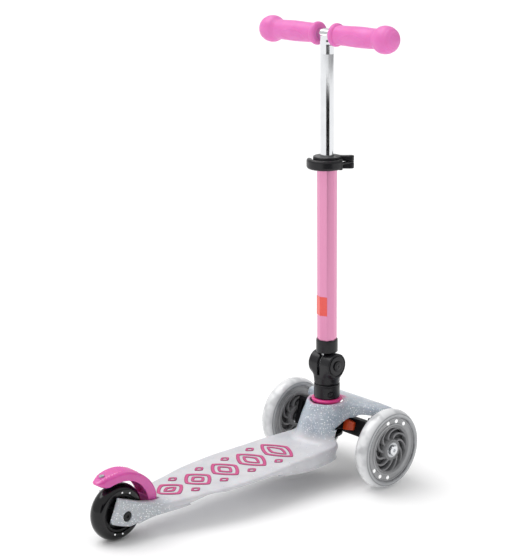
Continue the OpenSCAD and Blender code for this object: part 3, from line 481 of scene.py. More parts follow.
# ---------------------------------------------------------------------------------------------
# Front housing, steering beam, knuckles and tie rod: glass-filled black polyamide, moulded with
# 0.6 mm radii on the edges. The beam is screwed to the housing with two steel screws.
black_nylon = two_tone("glass_filled_polyamide_black", (45.0, 4.0), "#0C0C0F", "#151518", (0.34, 0.52),
                       {"IOR": 1.53, "Specular IOR Level": 0.3}, fine=(1500.0, 3.0), relief=0.12)


def softened_copy(node, width, material, body):
    """A copy of a CAD node with its loose triangles merged and its sharp edges rounded."""
    work = bmesh.new()
    work.from_mesh(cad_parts[node].data)
    bmesh.ops.remove_doubles(work, verts=work.verts, dist=1e-6)
    bmesh.ops.dissolve_limit(work, angle_limit=math.radians(1.0), verts=work.verts, edges=work.edges)
    mesh = bpy.data.meshes.new(node + "_moulded")
    work.to_mesh(mesh)
    work.free()
    piece = bpy.data.objects.new(node + "_moulded", mesh)
    bpy.context.scene.collection.objects.link(piece)
    edge = piece.modifiers.new("rounded_edges", "BEVEL")
    edge.width, edge.segments, edge.limit_method, edge.angle_limit = width, 2, "ANGLE", math.radians(50)
    edge.use_clamp_overlap = True
    settled = bpy.data.meshes.new_from_object(piece.evaluated_get(bpy.context.evaluated_depsgraph_get()))
    piece.modifiers.clear()
    piece.data = settled
    settled.materials.clear()
    settled.materials.append(material)
    settled.shade_smooth()
    settled.set_sharp_from_angle(angle=math.radians(32))
    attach(piece, body)
    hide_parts(node)


def coat(material, *nodes):
    """Gives CAD nodes their material through their own slots."""
    for node in nodes:
        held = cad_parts[node]
        if not held.data.materials:
            held.data.materials.append(material)
        for entry in held.material_slots:
            entry.material = material


for node, body in (("steering_beam", "deck"), ("knuckle_left", "knuckle_left"),
                   ("knuckle_right", "knuckle_right"), ("tie_rod", "tie_rod")):
    softened_copy(node, 0.0006, black_nylon, body)
coat(black_nylon, "front_housing", "wing_liners")

# Bright zinc-plated steel of the screws, kingpins, pins and bearings, turned with fine marks.
zinc_steel = two_tone("zinc_plated_steel", (900.0, 2.0), "#A9ABAE", "#D2D4D6", (0.2, 0.38),
                      {"Metallic": 1.0})
coat(zinc_steel, "beam_screws", "kingpins", "tie_rod_pins", "foot_tube", "hinge_pin", "hinge_tongue",
     "clamp_pin", "bearings_left", "bearings_right", "rear_bearings", "brake_plate", "brake_pin",
     "spacer_left", "spacer_right", "rear_spacer")

# Steering elastomers: two orange polyurethane blocks behind the beam, which centre the steering.
orange_rubber = two_tone("cast_polyurethane_orange", (160.0, 3.0), "#C23A12", "#DB5120", 0.4,
                         {"IOR": 1.5, "Subsurface Weight": 0.15, "Subsurface Scale": 0.003})
softened_copy("steering_elastomers", 0.0009, orange_rubber, "deck")

# ---------------------------------------------------------------------------------------------
# Front wheels: a clear cast polyurethane tyre on a frosted ring that carries the lamps, and a dark
# grey core with ten turbine spokes. A chromed cap screw goes through the bearings.
clear_tyre, tree, shader, place = finish("cast_polyurethane_clear")
axle = put(tree, "ShaderNodeVectorMath", {0: place, 1: (1.0, 0.0, 1.0)}, operation="MULTIPLY")
reach = put(tree, "ShaderNodeVectorMath", {0: axle.outputs[0], 1: (0.204, 0.0, 0.060)},
            operation="DISTANCE")
# painted refraction: bands of light and shade by radius stand in for what the clear tyre bends and
# reflects: dark next to the ring, then paler, with a grey line at its shoulder and a bright crown
refraction_band_share = span(tree, reach.outputs["Value"], 0.0, 1.0, 0.048, 0.060)
painted_refraction_bands = put(tree, "ShaderNodeValToRGB", {0: refraction_band_share})
for spot, code in ((0.10, "#66676A"), (0.22, "#9B9DA0"), (0.42, "#B9BBBD"), (0.55, "#7F8184"),
                   (0.66, "#CFD0D2"), (0.85, "#E6E7E9")):
    painted_refraction_bands.color_ramp.elements.new(spot).color = linear(code)
painted_refraction_bands.color_ramp.elements[0].color = linear("#66676A")
painted_refraction_bands.color_ramp.elements[-1].color = linear("#F4F5F6")
haze = noise(tree, place, 42.0, 2.0)
clouded = span(tree, haze, 0.0, 0.6, 0.48, 0.66)
tone = mix(tree, clouded, painted_refraction_bands.outputs[0], "#A4A6A9")
rough = span(tree, haze, 0.04, 0.12)
# Emission Strength 0.12 is a faint painted glow: the tyre gives off light though it holds no lamp
put(tree, shader, {"Base Color": tone, "Roughness": rough, "IOR": 1.49,
                   "Transmission Weight": 0.3, "Coat Weight": 0.4, "Coat Roughness": 0.03,
                   "Emission Color": tone, "Emission Strength": 0.12})
frosted_ring = two_tone("frosted_polycarbonate_grey", (70.0, 3.0), "#8E8F91", "#A6A7A9", 0.32,
                        {"IOR": 1.58, "Coat Weight": 0.3}, fine=(2600.0, 2.0), relief=0.15)
core_grey = two_tone("moulded_polyamide_grey", (60.0, 3.0), "#747577", "#8F8F91", 0.42,
                     {"IOR": 1.53}, fine=(1600.0, 2.0), relief=0.15)
# The web between the spokes is the core's own grey plastic, drawn darker: painted shade in the recesses
# between the blades.
core_web_painted_shade = two_tone("core_web_grey_painted_shade", (60.0, 3.0), "#2F2F31", "#3E3E40", 0.5,
                     {"IOR": 1.53})
lamp_lens = two_tone("lamp_lens_clear_acrylic", (500.0, 2.0), "#F2F3F5", "#FFFFFF", 0.08,
                     {"IOR": 1.49, "Coat Weight": 0.6, "Emission Color": linear("#FFFFFF"),
                      "Emission Strength": 0.35})
chrome_steel = two_tone("chromed_steel", (60.0, 3.0), "#D3D5D8", "#E9EAEC", (0.09, 0.18),
                        {"Metallic": 1.0})

# Round repeats, such as spokes and lamps, come from one tree: the piece, turned about Z.
round_tree = bpy.data.node_groups.new("repeat_round_the_axle", "GeometryNodeTree")
round_inputs = {}
for label, kind in (("Piece", "Geometry"), ("Count", "Int"), ("Step Angle", "Float"),
                    ("Start Angle", "Float"), ("Material", "Material")):
    round_inputs[label] = round_tree.interface.new_socket(
        label, in_out="INPUT", socket_type="NodeSocket" + kind)
round_tree.interface.new_socket("Repeated", in_out="OUTPUT", socket_type="NodeSocketGeometry")
given = put(round_tree, "NodeGroupInput")
number = put(round_tree, "GeometryNodeInputIndex")
angle = put(round_tree, "ShaderNodeMath", {0: number.outputs[0], 1: given.outputs["Step Angle"],
                                           2: given.outputs["Start Angle"]}, operation="MULTIPLY_ADD")
turn = put(round_tree, "ShaderNodeCombineXYZ", {"Z": angle.outputs[0]})
spots = put(round_tree, "GeometryNodePoints", {"Count": given.outputs["Count"]})
spread = put(round_tree, "GeometryNodeInstanceOnPoints", {
    "Points": spots.outputs[0], "Instance": given.outputs["Piece"], "Rotation": turn.outputs[0]})
whole = put(round_tree, "GeometryNodeRealizeInstances", {0: spread.outputs[0]})
dressed = put(round_tree, "GeometryNodeSetMaterial", {"Geometry": whole.outputs[0],
                                                      "Material": given.outputs["Material"]})
put(round_tree, "NodeGroupOutput", {0: dressed.outputs[0]})


def repeated(shape, count, step, start, material):
    """Points and faces of a shape repeated round the local Z axis by the tree; angles in degrees."""
    mesh = bpy.data.meshes.new("one_of_a_round")
    mesh.from_pydata(np.asarray(shape[0]).tolist(), [], shape[1])
    holder = bpy.data.objects.new("one_of_a_round", mesh)
    bpy.context.scene.collection.objects.link(holder)
    modifier = holder.modifiers.new("round", "NODES")
    modifier.node_group = round_tree
    modifier[round_inputs["Count"].identifier] = count
    modifier[round_inputs["Step Angle"].identifier] = math.radians(step)
    modifier[round_inputs["Start Angle"].identifier] = math.radians(start)
    modifier[round_inputs["Material"].identifier] = material
    result = bpy.data.meshes.new_from_object(
        holder.evaluated_get(bpy.context.evaluated_depsgraph_get()))
    points = np.array([v.co for v in result.vertices])
    faces = [tuple(f.vertices) for f in result.polygons]
    bpy.data.objects.remove(holder)
    return points, faces


arc = np.radians(np.linspace(-48.6, 48.6, 25))
tyre_profile = np.vstack([[(48.1, -11.4), (48.7, -12), (50.4, -12), (51, -12.5), (51.6, -12.5),
                           (52.2, -12)],
                          np.column_stack([44 + 16 * np.cos(arc), 16 * np.sin(arc)]),
                          [(52.2, 12), (51.6, 12.5), (51, 12.5), (50.4, 12), (48.7, 12), (48.1, 11.4)]])
tyre_profile = np.column_stack([tyre_profile[:, 0], np.clip(tyre_profile[:, 1], -12, 12)])
ring_profile = rounded([(37.02, -10.5), (39.5, -10.5), (39.8, -8.6), (46.2, -8.6), (46.6, -10.5),
                        (48.02, -10.5), (48.02, 10.5), (46.6, 10.5), (46.2, 8.6), (39.8, 8.6),
                        (39.5, 10.5), (37.02, 10.5)], 0.5)
rim_profile = rounded([(33, -9), (35, -11), (37, -11), (37, 11), (35, 11), (33, 9)], 0.7)
hub_profile = rounded([(11.02, -12), (13.2, -12), (13.4, -11.2), (14.4, -11.2), (14.6, -12), (15.5, -12),
                       (16.5, -7), (16.5, 7), (15.5, 12), (14.6, 12), (14.4, 11.2), (13.4, 11.2),
                       (13.2, 12), (11.02, 12)], 0.3)
web_profile = rounded([(15.8, -1.6), (24, -2.4), (34, -1.6), (34, 1.6), (24, 2.4), (15.8, 1.6)], 0.6)


def spoke():
    """One curved blade, thicker at its root, with a rounded edge on both faces."""
    rings = []
    for u in np.linspace(0, 1, 13):
        reach, bearing = 15.5 + u * 18.5, math.radians(40 * u * u + 8 * u)
        lead = bearing + math.radians(40)
        half, tall = 2.1 - 0.9 * u + 0.7 * max(0, u - 0.8) * 5, 9.0 - 1.6 * math.sin(math.pi * u)
        along = np.array([reach * math.cos(bearing), reach * math.sin(bearing)])
        across = np.array([-math.sin(lead), math.cos(lead)])
        section = rounded([(-half, -tall), (half, -tall), (half, tall), (-half, tall)], half * 0.9, 4)
        rings.append([[*(along + a * across), w] for a, w in section])
    return skin(rings)


def lamp(radius, face, size):
    """One lens: a low dome on the outer face of the ring."""
    profile = [(size, face - 0.6), (size, face + 0.2), (size * 0.8, face + 0.9),
               (size * 0.45, face + 1.3), (0, face + 1.4)]
    points, faces = lathe([(0, face - 0.6)] + profile, 16, "pole")
    return points + [radius, 0, 0], faces


def six_sided(reach, height, around):
    """A ring of points on a hexagon."""
    turn = np.linspace(0, 2 * math.pi, around, endpoint=False)
    r = reach * math.cos(math.pi / 6) / np.cos((turn % (math.pi / 3)) - math.pi / 6)
    return np.column_stack([r * np.cos(turn), r * np.sin(turn), np.full(around, height)])


def cap_screw(shank_end, seat, head_r, top, key, depth):
    """A cap screw along local Z, with a hexagon socket."""
    rings = list(turned([(0, shank_end), (3.5, shank_end), (3.98, shank_end + 0.6), (3.98, seat),
                         (head_r, seat), (head_r, top - 1.2), (head_r - 0.35, top - 0.35),
                         (head_r - 1.2, top), (key + 1.0, top)], 48))
    rings += [six_sided(key + 0.25, top, 48), six_sided(key, top - 0.3, 48),
              six_sided(key, top - depth, 48), turned([(0, top - depth)], 48)[0]]
    return skin(rings, "pole")


for side, name in ((1, "left"), (-1, "right")):
    # local Z points outwards along the axle
    hub = stand_at((FRONT_X, side * 100.0, 60.0), [[1, 0, 0], [0, 0, side], [0, -1, 0]])
    wheel = "wheel_" + name
    shape = lathe(tyre_profile, 128)
    make("clear_tyre_" + name, *at(shape, hub), clear_tyre, wheel, "clear_tyre",
         ["tyre_" + name], crease=40, recalculate=True)
    shape = lathe(ring_profile, 128)
    make("frosted_ring_" + name, *at(shape, hub), frosted_ring, wheel, "light_ring_grey",
         ["light_ring_" + name], recalculate=True)
    lamps = gather([repeated(lamp(43.2, 8.6, 3.0), 3, 24, start, lamp_lens) for start in (-102, 96)])
    make("lamps_" + name, *at(lamps, hub), lamp_lens, wheel, "light_ring_grey",
         recalculate=True)
    blades = repeated(spoke(), 10, 36, 0, core_grey)
    rounds = [lathe(rim_profile, 128), lathe(hub_profile, 96)]
    shape = gather(rounds + [blades])
    make("spoked_core_" + name, *at(shape, hub), core_grey, wheel, "core_grey",
         ["core_" + name], recalculate=True)
    shape = lathe(web_profile, 96)
    make("core_web_" + name, *at(shape, hub), core_web_painted_shade, wheel, "core_grey",
         recalculate=True)
    shape = cap_screw(-23.5, 12.3, 7.5, 15.6, 2.9, 2.2)
    make("wheel_bolt_" + name, *at(shape, hub), chrome_steel, "knuckle_" + name, "steel",
         ["axle_bolt_" + name], recalculate=True)

# ---------------------------------------------------------------------------------------------
# Rear wheel: a glossy black cast polyurethane tyre on a five-spoke black core, on an axle whose
# two round heads sit in the fork's recesses.
black_tyre = two_tone("cast_polyurethane_black", (80.0, 3.0), "#08080A", "#111114", (0.10, 0.2),
                      {"IOR": 1.5, "Specular IOR Level": 0.3, "Coat Weight": 0.15})
REAR = stand_at((REAR_X, 0, REAR_Z), [[1, 0, 0], [0, 0, 1], [0, -1, 0]])
arc = np.radians(np.linspace(-59, 59, 25))
rear_profile = np.vstack([[(27.1, -11.4), (27.7, -12), (30, -12)],
                          np.column_stack([26 + 14 * np.cos(arc), np.clip(14 * np.sin(arc), -12, 12)]),
                          [(30, 12), (27.7, 12), (27.1, 11.4)]])
shape = lathe(rear_profile, 96)
make("rear_tyre_cast", *at(shape, REAR), black_tyre, "wheel_rear", "black_tyre",
     ["rear_tyre"], crease=40, recalculate=True)
dots = gather([repeated(lamp(29.4, 11.6, 1.3), 2, 26, start, lamp_lens) for start in (86, -88)])
dots = gather([dots, (dots[0] * [1, 1, -1], dots[1])])
make("rear_lamps", *at(dots, REAR), lamp_lens, "wheel_rear", "black_tyre", recalculate=True)


def straight_spoke():
    section = rounded([(-2, -8), (2, -8), (2, 8), (-2, 8)], 1.2, 3)
    return skin([[[reach, a, w] for a, w in section] for reach in (13, 18, 24.5)])


shape = gather([lathe(rounded([(23, -10), (27, -10), (27, 10), (23, 10)], 0.8), 96),
                lathe(rounded([(11.02, -12), (14.5, -12), (14.5, 12), (11.02, 12)], 0.7), 96),
                lathe(rounded([(14, -3), (24, -3), (24, 3), (14, 3)], 0.6), 96),
                repeated(straight_spoke(), 5, 72, 0, black_nylon)])
make("rear_core_spoked", *at(shape, REAR), black_nylon, "wheel_rear", "black_plastic",
     ["rear_core"], recalculate=True)
rear_bolt = [lathe(rounded([(0, -23.7), (4, -23.7), (4, 23.7), (0, 23.7)], 0.4, closed=False), 48, "pole")]
for s in (1, -1):
    head = cap_screw(20.0, 22.8, 6.9, 25.3, 2.6, 1.5)
    rear_bolt.append((head[0] * [1, 1, s], head[1]))
shape = gather(rear_bolt)
make("rear_axle_heads", *at(shape, REAR), black_nylon, "deck", "black_plastic",
     ["rear_axle_bolt"], recalculate=True)

# ---------------------------------------------------------------------------------------------
# Brake: a fender moulded in translucent pink polycarbonate that turns on a pin in the deck. A steel
# plate under it, held by one rivet, rubs on the tyre. The ribs for the heel are drawn at 4.2 mm,
# coarser than the real ones.
brake_top = curve_through([(-163, 44), (-162, 54), (-167, 67), (-177, 80), (-194, 92), (-216, 99.5),
                           (-238, 98.5), (-254, 93.5), (-262, 88.5)])
brake_side = np.vstack([brake_top, [(-261, 85), (-254, 81), (-244, 78), (-224, 40), (-176, 44)]])
brake_outline = mirrored(curve_through([(-263, 3), (-260, 6.5), (-250, 11), (-234, 14.5), (-209, 15.5),
                                        (-192, 14.6), (-180, 14.2), (-160, 14.2)], 3))
RIB_PITCH, RIB_HIGH, RIVET_X = 4.2, 1.3, -248.0


def fender(x, y, z):
    side_y = np.abs(y)
    profile = outline_gap(x, z, brake_side)
    along = np.arctan2(z - REAR_Z, -(x - REAR_X)) * 58
    # overlapping ribs: each rises slowly towards the tail and drops at its end
    phase = (along / RIB_PITCH) % 1.0
    rib = np.where(phase < 0.82, phase / 0.82, (1 - phase) / 0.18) * RIB_HIGH
    rib = rib * np.clip((along - 60) / 6, 0, 1) * np.clip((125 - along) / 6, 0, 1)
    rib = rib * np.clip((11.5 - side_y) / 3.0, 0, 1)
    body = soft_max(profile + 1.3 - rib, outline_gap(x, y, brake_outline), 5.0)
    pivot = np.hypot(x - BRAKE_X, z - BRAKE_Z)
    body = soft_min(body, soft_max(pivot - 5.5, side_y - 14.2, 1.5), 3.0)
    about = np.hypot(x - REAR_X, z - REAR_Z)
    body = soft_max(body, -(about - 46), 1.2)
    hollow = np.maximum(np.maximum(about - 52, side_y - 10.5),
                        np.maximum(54 - z, -(x - REAR_X) * 0.883 + -(z - REAR_Z) * 0.469))
    body = soft_max(body, -hollow, 1.2)
    body = np.maximum(body, -(pivot - 2.55))
    rivet = np.hypot(x - RIVET_X, y)
    return np.maximum(body, -np.minimum(rivet - 2, np.maximum(rivet - 3.9, 95.2 - z)))


pink_fender = two_tone("translucent_polycarbonate_pink", (55.0, 3.0), "#C8419A", "#DB58AC", 0.26,
                       {"IOR": 1.58, "Subsurface Weight": 0.35, "Subsurface Scale": 0.004,
                        "Coat Weight": 0.3},
                       fine=(1400.0, 2.0), relief=0.1)
points, faces = skin_of(fender, (-266, -18, 33), (-156, 18, 103), 0.6)
make("ribbed_fender", points, faces, pink_fender, "brake", "brake_pink", ["brake_fender"], crease=50)
RIVET = stand_at((RIVET_X, 0, 0))
shape = lathe([(0, 80.2), (2, 80.2), (2, 95.2), (3.7, 95.2), (3.7, 96), (3.2, 96.8), (1.8, 97.2),
                     (1.5, 96.7), (0, 96.7)], 48, "pole")
make("fender_rivet", *at(shape, RIVET), zinc_steel, "brake", "steel", ["brake_rivet"],
     recalculate=True)

# ---------------------------------------------------------------------------------------------
# Column foot and fold hinge: satin black plastic over a steel tube. The sleeve holds the release
# button, and the slit barrel of the hinge takes the steel tongue of the upper column.
satin_black = two_tone("satin_moulded_abs_black", (50.0, 3.0), "#0E0E11", "#18181C", (0.22, 0.36),
                       {"IOR": 1.54, "Specular IOR Level": 0.32}, fine=(1300.0, 3.0), relief=0.1)
RELEASE, BUTTON_UP, HINGE_UP = math.radians(-118), 18.0, 62.0


def sleeve(x, y, s):
    ring = np.hypot(x, y)
    body = soft_max(ring - 19.5, np.abs(s - 20.75) - 10.75, 1.6)
    body = soft_max(body, -(np.abs(s - 28.6) - 0.35 + np.maximum(0, 19.1 - ring) * 3), 0.3)
    out = x * math.cos(RELEASE) + y * math.sin(RELEASE)
    over = -x * math.sin(RELEASE) + y * math.cos(RELEASE)
    hole = np.maximum(np.hypot(over, s - BUTTON_UP) - 4.6, -out)
    return np.maximum(np.maximum(body, 14.05 - ring), -hole)


shape = skin_of(sleeve, (-21, -21, 8), (21, 21, 34), 0.55)
make("foot_sleeve", *at(shape, COLUMN), satin_black, "deck", "black_plastic",
     ["base_sleeve"], crease=50)
out = np.array([math.cos(RELEASE), math.sin(RELEASE), 0])
over = np.array([-math.sin(RELEASE), math.cos(RELEASE), 0])
button = stand_at((0, 0, BUTTON_UP), np.column_stack([over, np.cross(out, over), out]))
shape = lathe([(0, 8), (4.25, 8), (4.25, 18.6), (3.9, 19.5), (3.0, 19.9), (2.4, 20.0), (2.0, 19.7),
                     (0, 19.6)], 48, "pole")
make("release_button_cap", *at(shape, button, COLUMN), satin_black,
     "release_button", "black_plastic", ["release_button"], recalculate=True)


def yoke(x, y, s):
    side_y, up = np.abs(y), s - HINGE_UP
    around = np.hypot(x, up)
    barrel = soft_max(around - 18.5, side_y - 21.5, 2.0)
    ring = np.hypot(x, y)
    neck = soft_max(ring - 18.4, np.abs(s - 36.6) - 4.5, 1.2)
    flare = soft_max(ring - (18.4 + np.clip(s - 36, 0, 24) * 0.155), np.abs(x) - 18.5, 3.0)
    flare = soft_max(flare, np.abs(s - 48.0) - 13.0, 2.0)
    body = soft_min(soft_min(barrel, flare, 8.0), neck, 4.0)
    body = soft_max(soft_max(body, np.abs(x) - 18.7, 1.0), side_y - 21.5, 1.5)
    slit = np.maximum(np.minimum(np.minimum(around - 15.6, np.maximum(-up, up - 40)),
                                 np.maximum(np.maximum(x, -15 - up), up - 25)), side_y - 2.5)
    body = soft_max(body, -slit, 0.8)
    body = np.maximum(body, -np.maximum(around - 16.5, y + 20.0))
    body = np.maximum(body, -np.maximum(around - 7.05, y + 15.5))
    body = np.maximum(body, -np.maximum(around - 9.0, 19.0 - y))
    body = np.maximum(body, -(np.maximum(around - 4.0, side_y - 19)))
    return np.maximum(body, -np.maximum(ring - 14.05, s - 37.8))


shape = skin_of(yoke, (-24, -24, 30), (24, 24, 84), 0.6)
make("fold_hinge_barrel", *at(shape, COLUMN), satin_black, "deck", "black_plastic",
     ["hinge_yoke"], crease=50)
# local Z along +Y through the hinge's axis
hinge = stand_at((0, 0, HINGE_UP), [[1, 0, 0], [0, 0, 1], [0, -1, 0]])
shape = gather([lathe(rounded([(7.4, -21.5), (14.9, -21.5), (14.9, -20), (7.4, -20)], 0.7), 96),
                lathe(rounded([(0, 19), (8.9, 19), (8.9, 21.5), (6.2, 21.5), (5.8, 21.0), (0, 21.0)], 0.4,
                                    closed=False), 64, "pole")])
make("hinge_side_caps", *at(shape, hinge, COLUMN), satin_black, "deck",
     "black_plastic", ["hinge_cap"], recalculate=True)
shape = lathe(rounded([(0, -23.0), (1.1, -23.0), (1.1, -23.7), (4.6, -23.7), (5.2, -23.2), (7, -23.2),
                             (7, -17.9), (0, -17.9)], 0.35, closed=False), 64, "pole")
make("fold_button_cap", *at(shape, hinge, COLUMN), satin_black, "hinge_button",
     "black_plastic", ["hinge_button"], recalculate=True)
shape = lathe(rounded([(14.9, 83.5), (14.9, 100.9), (15.6, 101), (15.9, 100.6), (15.9, 99.2), (16.25, 98.8),
                             (16.25, 81.9), (15.6, 81.3), (9, 81.3), (9, 83.5)], 0.35), 96)
make("upper_sleeve", *at(shape, COLUMN), satin_black, "column", "black_plastic",
     ["hinge_sleeve"], recalculate=True)

# ---------------------------------------------------------------------------------------------
# Outer tube: extruded aluminium with eight crisp facets, anodised in satin rose, and a plain red
# label on two of its facets. A nylon bush guides the inner tube in its top.


def octagon(reach, height, corner=1.3, steps=3):
    """A ring of points on an octagon with rounded corners, its corners at multiples of 45 degrees."""
    corners = [(reach * math.cos(math.radians(45 * i)), reach * math.sin(math.radians(45 * i)))
               for i in range(8)]
    flat = rounded(corners, corner, steps)
    return np.column_stack([flat, np.full(len(flat), height)])


def inner_wall(reach, height):
    """A round ring with its points in line with the octagon's."""
    flat = octagon(14.85, 0)[:, :2]
    flat = flat / np.linalg.norm(flat, axis=1)[:, None] * reach
    return np.column_stack([flat, np.full(len(flat), height)])


anodised_rose, tree, shader, place = finish("anodised_aluminium_rose")
# extrusion lines run along the tube: stretched 60 times, about 0.3 mm apart across it
stretch = put(tree, "ShaderNodeMapping", {"Vector": place, "Scale": (1.0, 1.0, 0.016)})
lines = noise(tree, stretch.outputs[0], 2200.0, 3.0)
tone = mix(tree, lines, "#DB8CB2", "#E6A0C2")
rough = span(tree, lines, 0.3, 0.44)
relief = bump(tree, 0.06, 0.0001, lines)
put(tree, shader, {"Base Color": tone, "Metallic": 0.75, "Roughness": rough,
                   "Normal": relief})
TUBE_LOW, TUBE_HIGH, BORE = 84.3, 371.0, 11.3
rings = [octagon(14.55, TUBE_LOW), octagon(14.85, TUBE_LOW + 0.3), octagon(14.85, TUBE_HIGH - 0.3),
         octagon(14.55, TUBE_HIGH), inner_wall(BORE, TUBE_HIGH), inner_wall(BORE, TUBE_LOW)]
shape = skin(rings, "join")
make("octagon_tube", *at(shape, COLUMN), anodised_rose, "column", "anodised_pink",
     ["outer_tube"], crease=8, recalculate=True)
label_red = two_tone("printed_vinyl_label_red", (300.0, 3.0), "#E24A42", "#EF5A50", 0.35,
                     {"IOR": 1.5, "Coat Weight": 0.3})
coat(label_red, "tube_label")
bush_nylon = two_tone("turned_polyamide_natural", (400.0, 2.0), "#3A3A3C", "#48484A", 0.45,
                      {"IOR": 1.53})
coat(bush_nylon, "tube_bush", "guide_bush")

# ---------------------------------------------------------------------------------------------
# Height clamp: a split collar in black plastic over the tube's top, and a curved lever that turns
# on a pin between its two ears and lies round the back of the column when it is shut.
EARS = math.radians(-45)


def ears(x, y):
    return x * math.cos(EARS) + y * math.sin(EARS), -x * math.sin(EARS) + y * math.cos(EARS)


def collar(x, y, s):
    ring = np.hypot(x, y)
    body = soft_max(ring - 20.5, np.abs(s - 368.5) - 9.0, 1.8)
    body = soft_max(body, -(np.abs(s - 375.6) - 0.35 + np.maximum(0, 20.1 - ring) * 3), 0.3)
    out, across = ears(x, y)
    reach = np.minimum(np.maximum(np.abs(out - 23) - 11, np.abs(across) - 5),
                       np.hypot(out - 34, across) - 5)
    for low, high in ((359.0, 367.0), (370.0, 378.0)):
        ear = soft_max(reach, np.abs(s - (low + high) / 2) - (high - low) / 2, 1.4)
        body = soft_min(body, ear, 1.5)
    tube = np.maximum(np.maximum(np.abs(x), np.abs(y)), (np.abs(x) + np.abs(y)) * 0.7071) - 14.0
    bore = np.minimum(np.maximum(np.minimum(ring - 14.9, tube + 0.9), s - 371.1), ring - 10.1)
    split = np.maximum(np.maximum(np.abs(across) - 0.8, 5 - out), out - 19.6)
    body = np.maximum(body, -np.minimum(bore, split))
    return np.maximum(body, -(np.hypot(out - 34, across) - 2.0))


shape = skin_of(collar, (-22, -31, 357), (31, 22, 380), 0.6)
make("clamp_collar_moulded", *at(shape, COLUMN), satin_black, "column", "black_plastic",
     ["clamp_collar"], crease=50)
lever_plan = np.array([(0, 0), (-28, 44), (-60, 30), (-60, -60), (4, -60), (4, -22)], float)


def lever(x, y, s):
    ring = np.hypot(x, y)
    mid = np.abs(s - 367.0) - 7.5
    band = soft_max(np.hypot(x + 2.5, y - 0.5) - 27.8, 21.3 - ring, 1.6)
    band = soft_max(soft_max(band, outline_gap(x, y, lever_plan), 3.0), mid, 4.5)
    out, across = ears(x, y)
    turn = math.radians(-83)
    start = np.array([24.5 * math.cos(turn), 24.5 * math.sin(turn)])
    end = np.array([34 * math.cos(EARS), 34 * math.sin(EARS)])
    share = np.clip(((x - start[0]) * (end - start)[0] + (y - start[1]) * (end - start)[1])
                    / ((end - start) ** 2).sum(), 0, 1)
    root = np.hypot(x - start[0] - share * (end - start)[0], y - start[1] - share * (end - start)[1])
    root = np.maximum(root - (3.0 + 1.8 * share), np.abs(s - 368.5) - 1.2)
    post = np.maximum(np.hypot(x - start[0], y - start[1]) - 3.0, mid)
    body = soft_min(soft_min(band, post, 1.2), root, 0.6)
    return np.maximum(np.maximum(body, 21.3 - ring), -(np.hypot(out - 34, across) - 2.05))


shape = skin_of(lever, (-32, -32, 358), (31, 32, 376), 0.6)
make("clamp_lever_moulded", *at(shape, COLUMN), satin_black, "clamp_lever", "black_plastic",
     ["clamp_lever"], crease=50)

# ---------------------------------------------------------------------------------------------
# Handlebar: a chromed steel tube, with the crossbar welded into its notched top and the weld
# ground smooth and chromed over.
BAR_UP = 552.0
shape = lathe(rounded([(8.5, 300), (10, 300), (10, 536), (8.5, 536)], 0.3), 64)
make("chromed_tube", *at(shape, COLUMN), chrome_steel, "mast", "chrome",
     ["inner_tube"], recalculate=True)
coat(chrome_steel, "crossbar")


def weld(x, y, s):
    bar = np.hypot(x, s - BAR_UP) - 8.03
    tube = np.maximum(np.hypot(x, y) - 10.02 - 1.0 * np.clip((s - 538) / 4, 0, 1), s - 551)
    joined = soft_min(bar, tube, 4.0)
    return np.maximum(np.maximum(joined, np.abs(y) - 15.0), 524 - s)


shape = skin_of(weld, (-13, -16.5, 522), (13, 16.5, 562), 0.55)
make("welded_joint", *at(shape, COLUMN), chrome_steel, "mast", "chrome", crease=50)

# Grips: soft pink thermoplastic rubber pushed over the crossbar, each with a flange against the
# thumb, a lens-shaped raised outline on its barrel, and a ringed knob at its end.
grip_line = curve_through([(14.0, 14), (16.3, 16.5), (16.5, 20), (15.1, 22.6), (14, 25), (14.3, 44),
                           (14.8, 66), (14.2, 92.6), (15.2, 98.1), (18.5, 104.6), (19.4, 112.6),
                           (16.9, 122.3), (9.7, 129.5), (0, 132)], 8)
run = np.concatenate([[0], np.hypot(*np.diff(grip_line, axis=0).T).cumsum()])
even = np.linspace(0, run[-1], 260)
grip_line = np.column_stack([np.interp(even, run, line) for line in grip_line.T])


def grip_rings(side):
    """Rings of one grip about the crossbar's axis, with its raised outline and its end rings."""
    turn = np.linspace(0, 2 * math.pi, 144, endpoint=False)
    rings = [np.column_stack([8.05 * np.cos(turn), 8.05 * np.sin(turn), np.full(144, 14.0)])]
    for r, h in grip_line:
        lift = np.zeros(144)
        # the outline faces the rider, a little above the bar
        arc_at = (((turn - math.radians(200)) + math.pi) % (2 * math.pi) - math.pi) * 14.4
        if 28 < h < 92:
            # a lens between two arcs of radius 42
            edge = np.maximum(np.hypot(h - 59, arc_at - 31), np.hypot(h - 59, arc_at + 31)) - 40
            lift += 0.45 * np.exp(-(edge / 0.8) ** 2) - 0.25 * (edge < -1.2) * np.clip(-edge - 1.2, 0, 1)
        if h > 112:
            end_r = r
            for groove in (17.3, 13.4, 9.5, 5.6):
                lift -= 0.42 * math.exp(-(((end_r - groove) / 0.75) ** 2))
        reach = np.maximum(r + lift * min(1.0, r / 3.0), 0)
        rings.append(np.column_stack([reach * np.cos(turn), reach * np.sin(turn), np.full(144, h)]))
    return rings


grip_rubber = two_tone("soft_moulded_grip_rubber_pink", (40.0, 3.0), "#DB60AE", "#E880C6", 0.42,
                       {"IOR": 1.5, "Subsurface Weight": 0.15, "Subsurface Scale": 0.003},
                       fine=(1600.0, 3.0), relief=0.18)
for side, name in ((1, "left"), (-1, "right")):
    bar = stand_at((0, 0, BAR_UP), [[1, 0, 0], [0, 0, side], [0, 1, 0]])
    shape = skin(grip_rings(side), "pole")
    make("soft_grip_" + name, *at(shape, bar, COLUMN), grip_rubber, "mast",
         "grip_pink", ["grip_" + name], crease=45, recalculate=True)

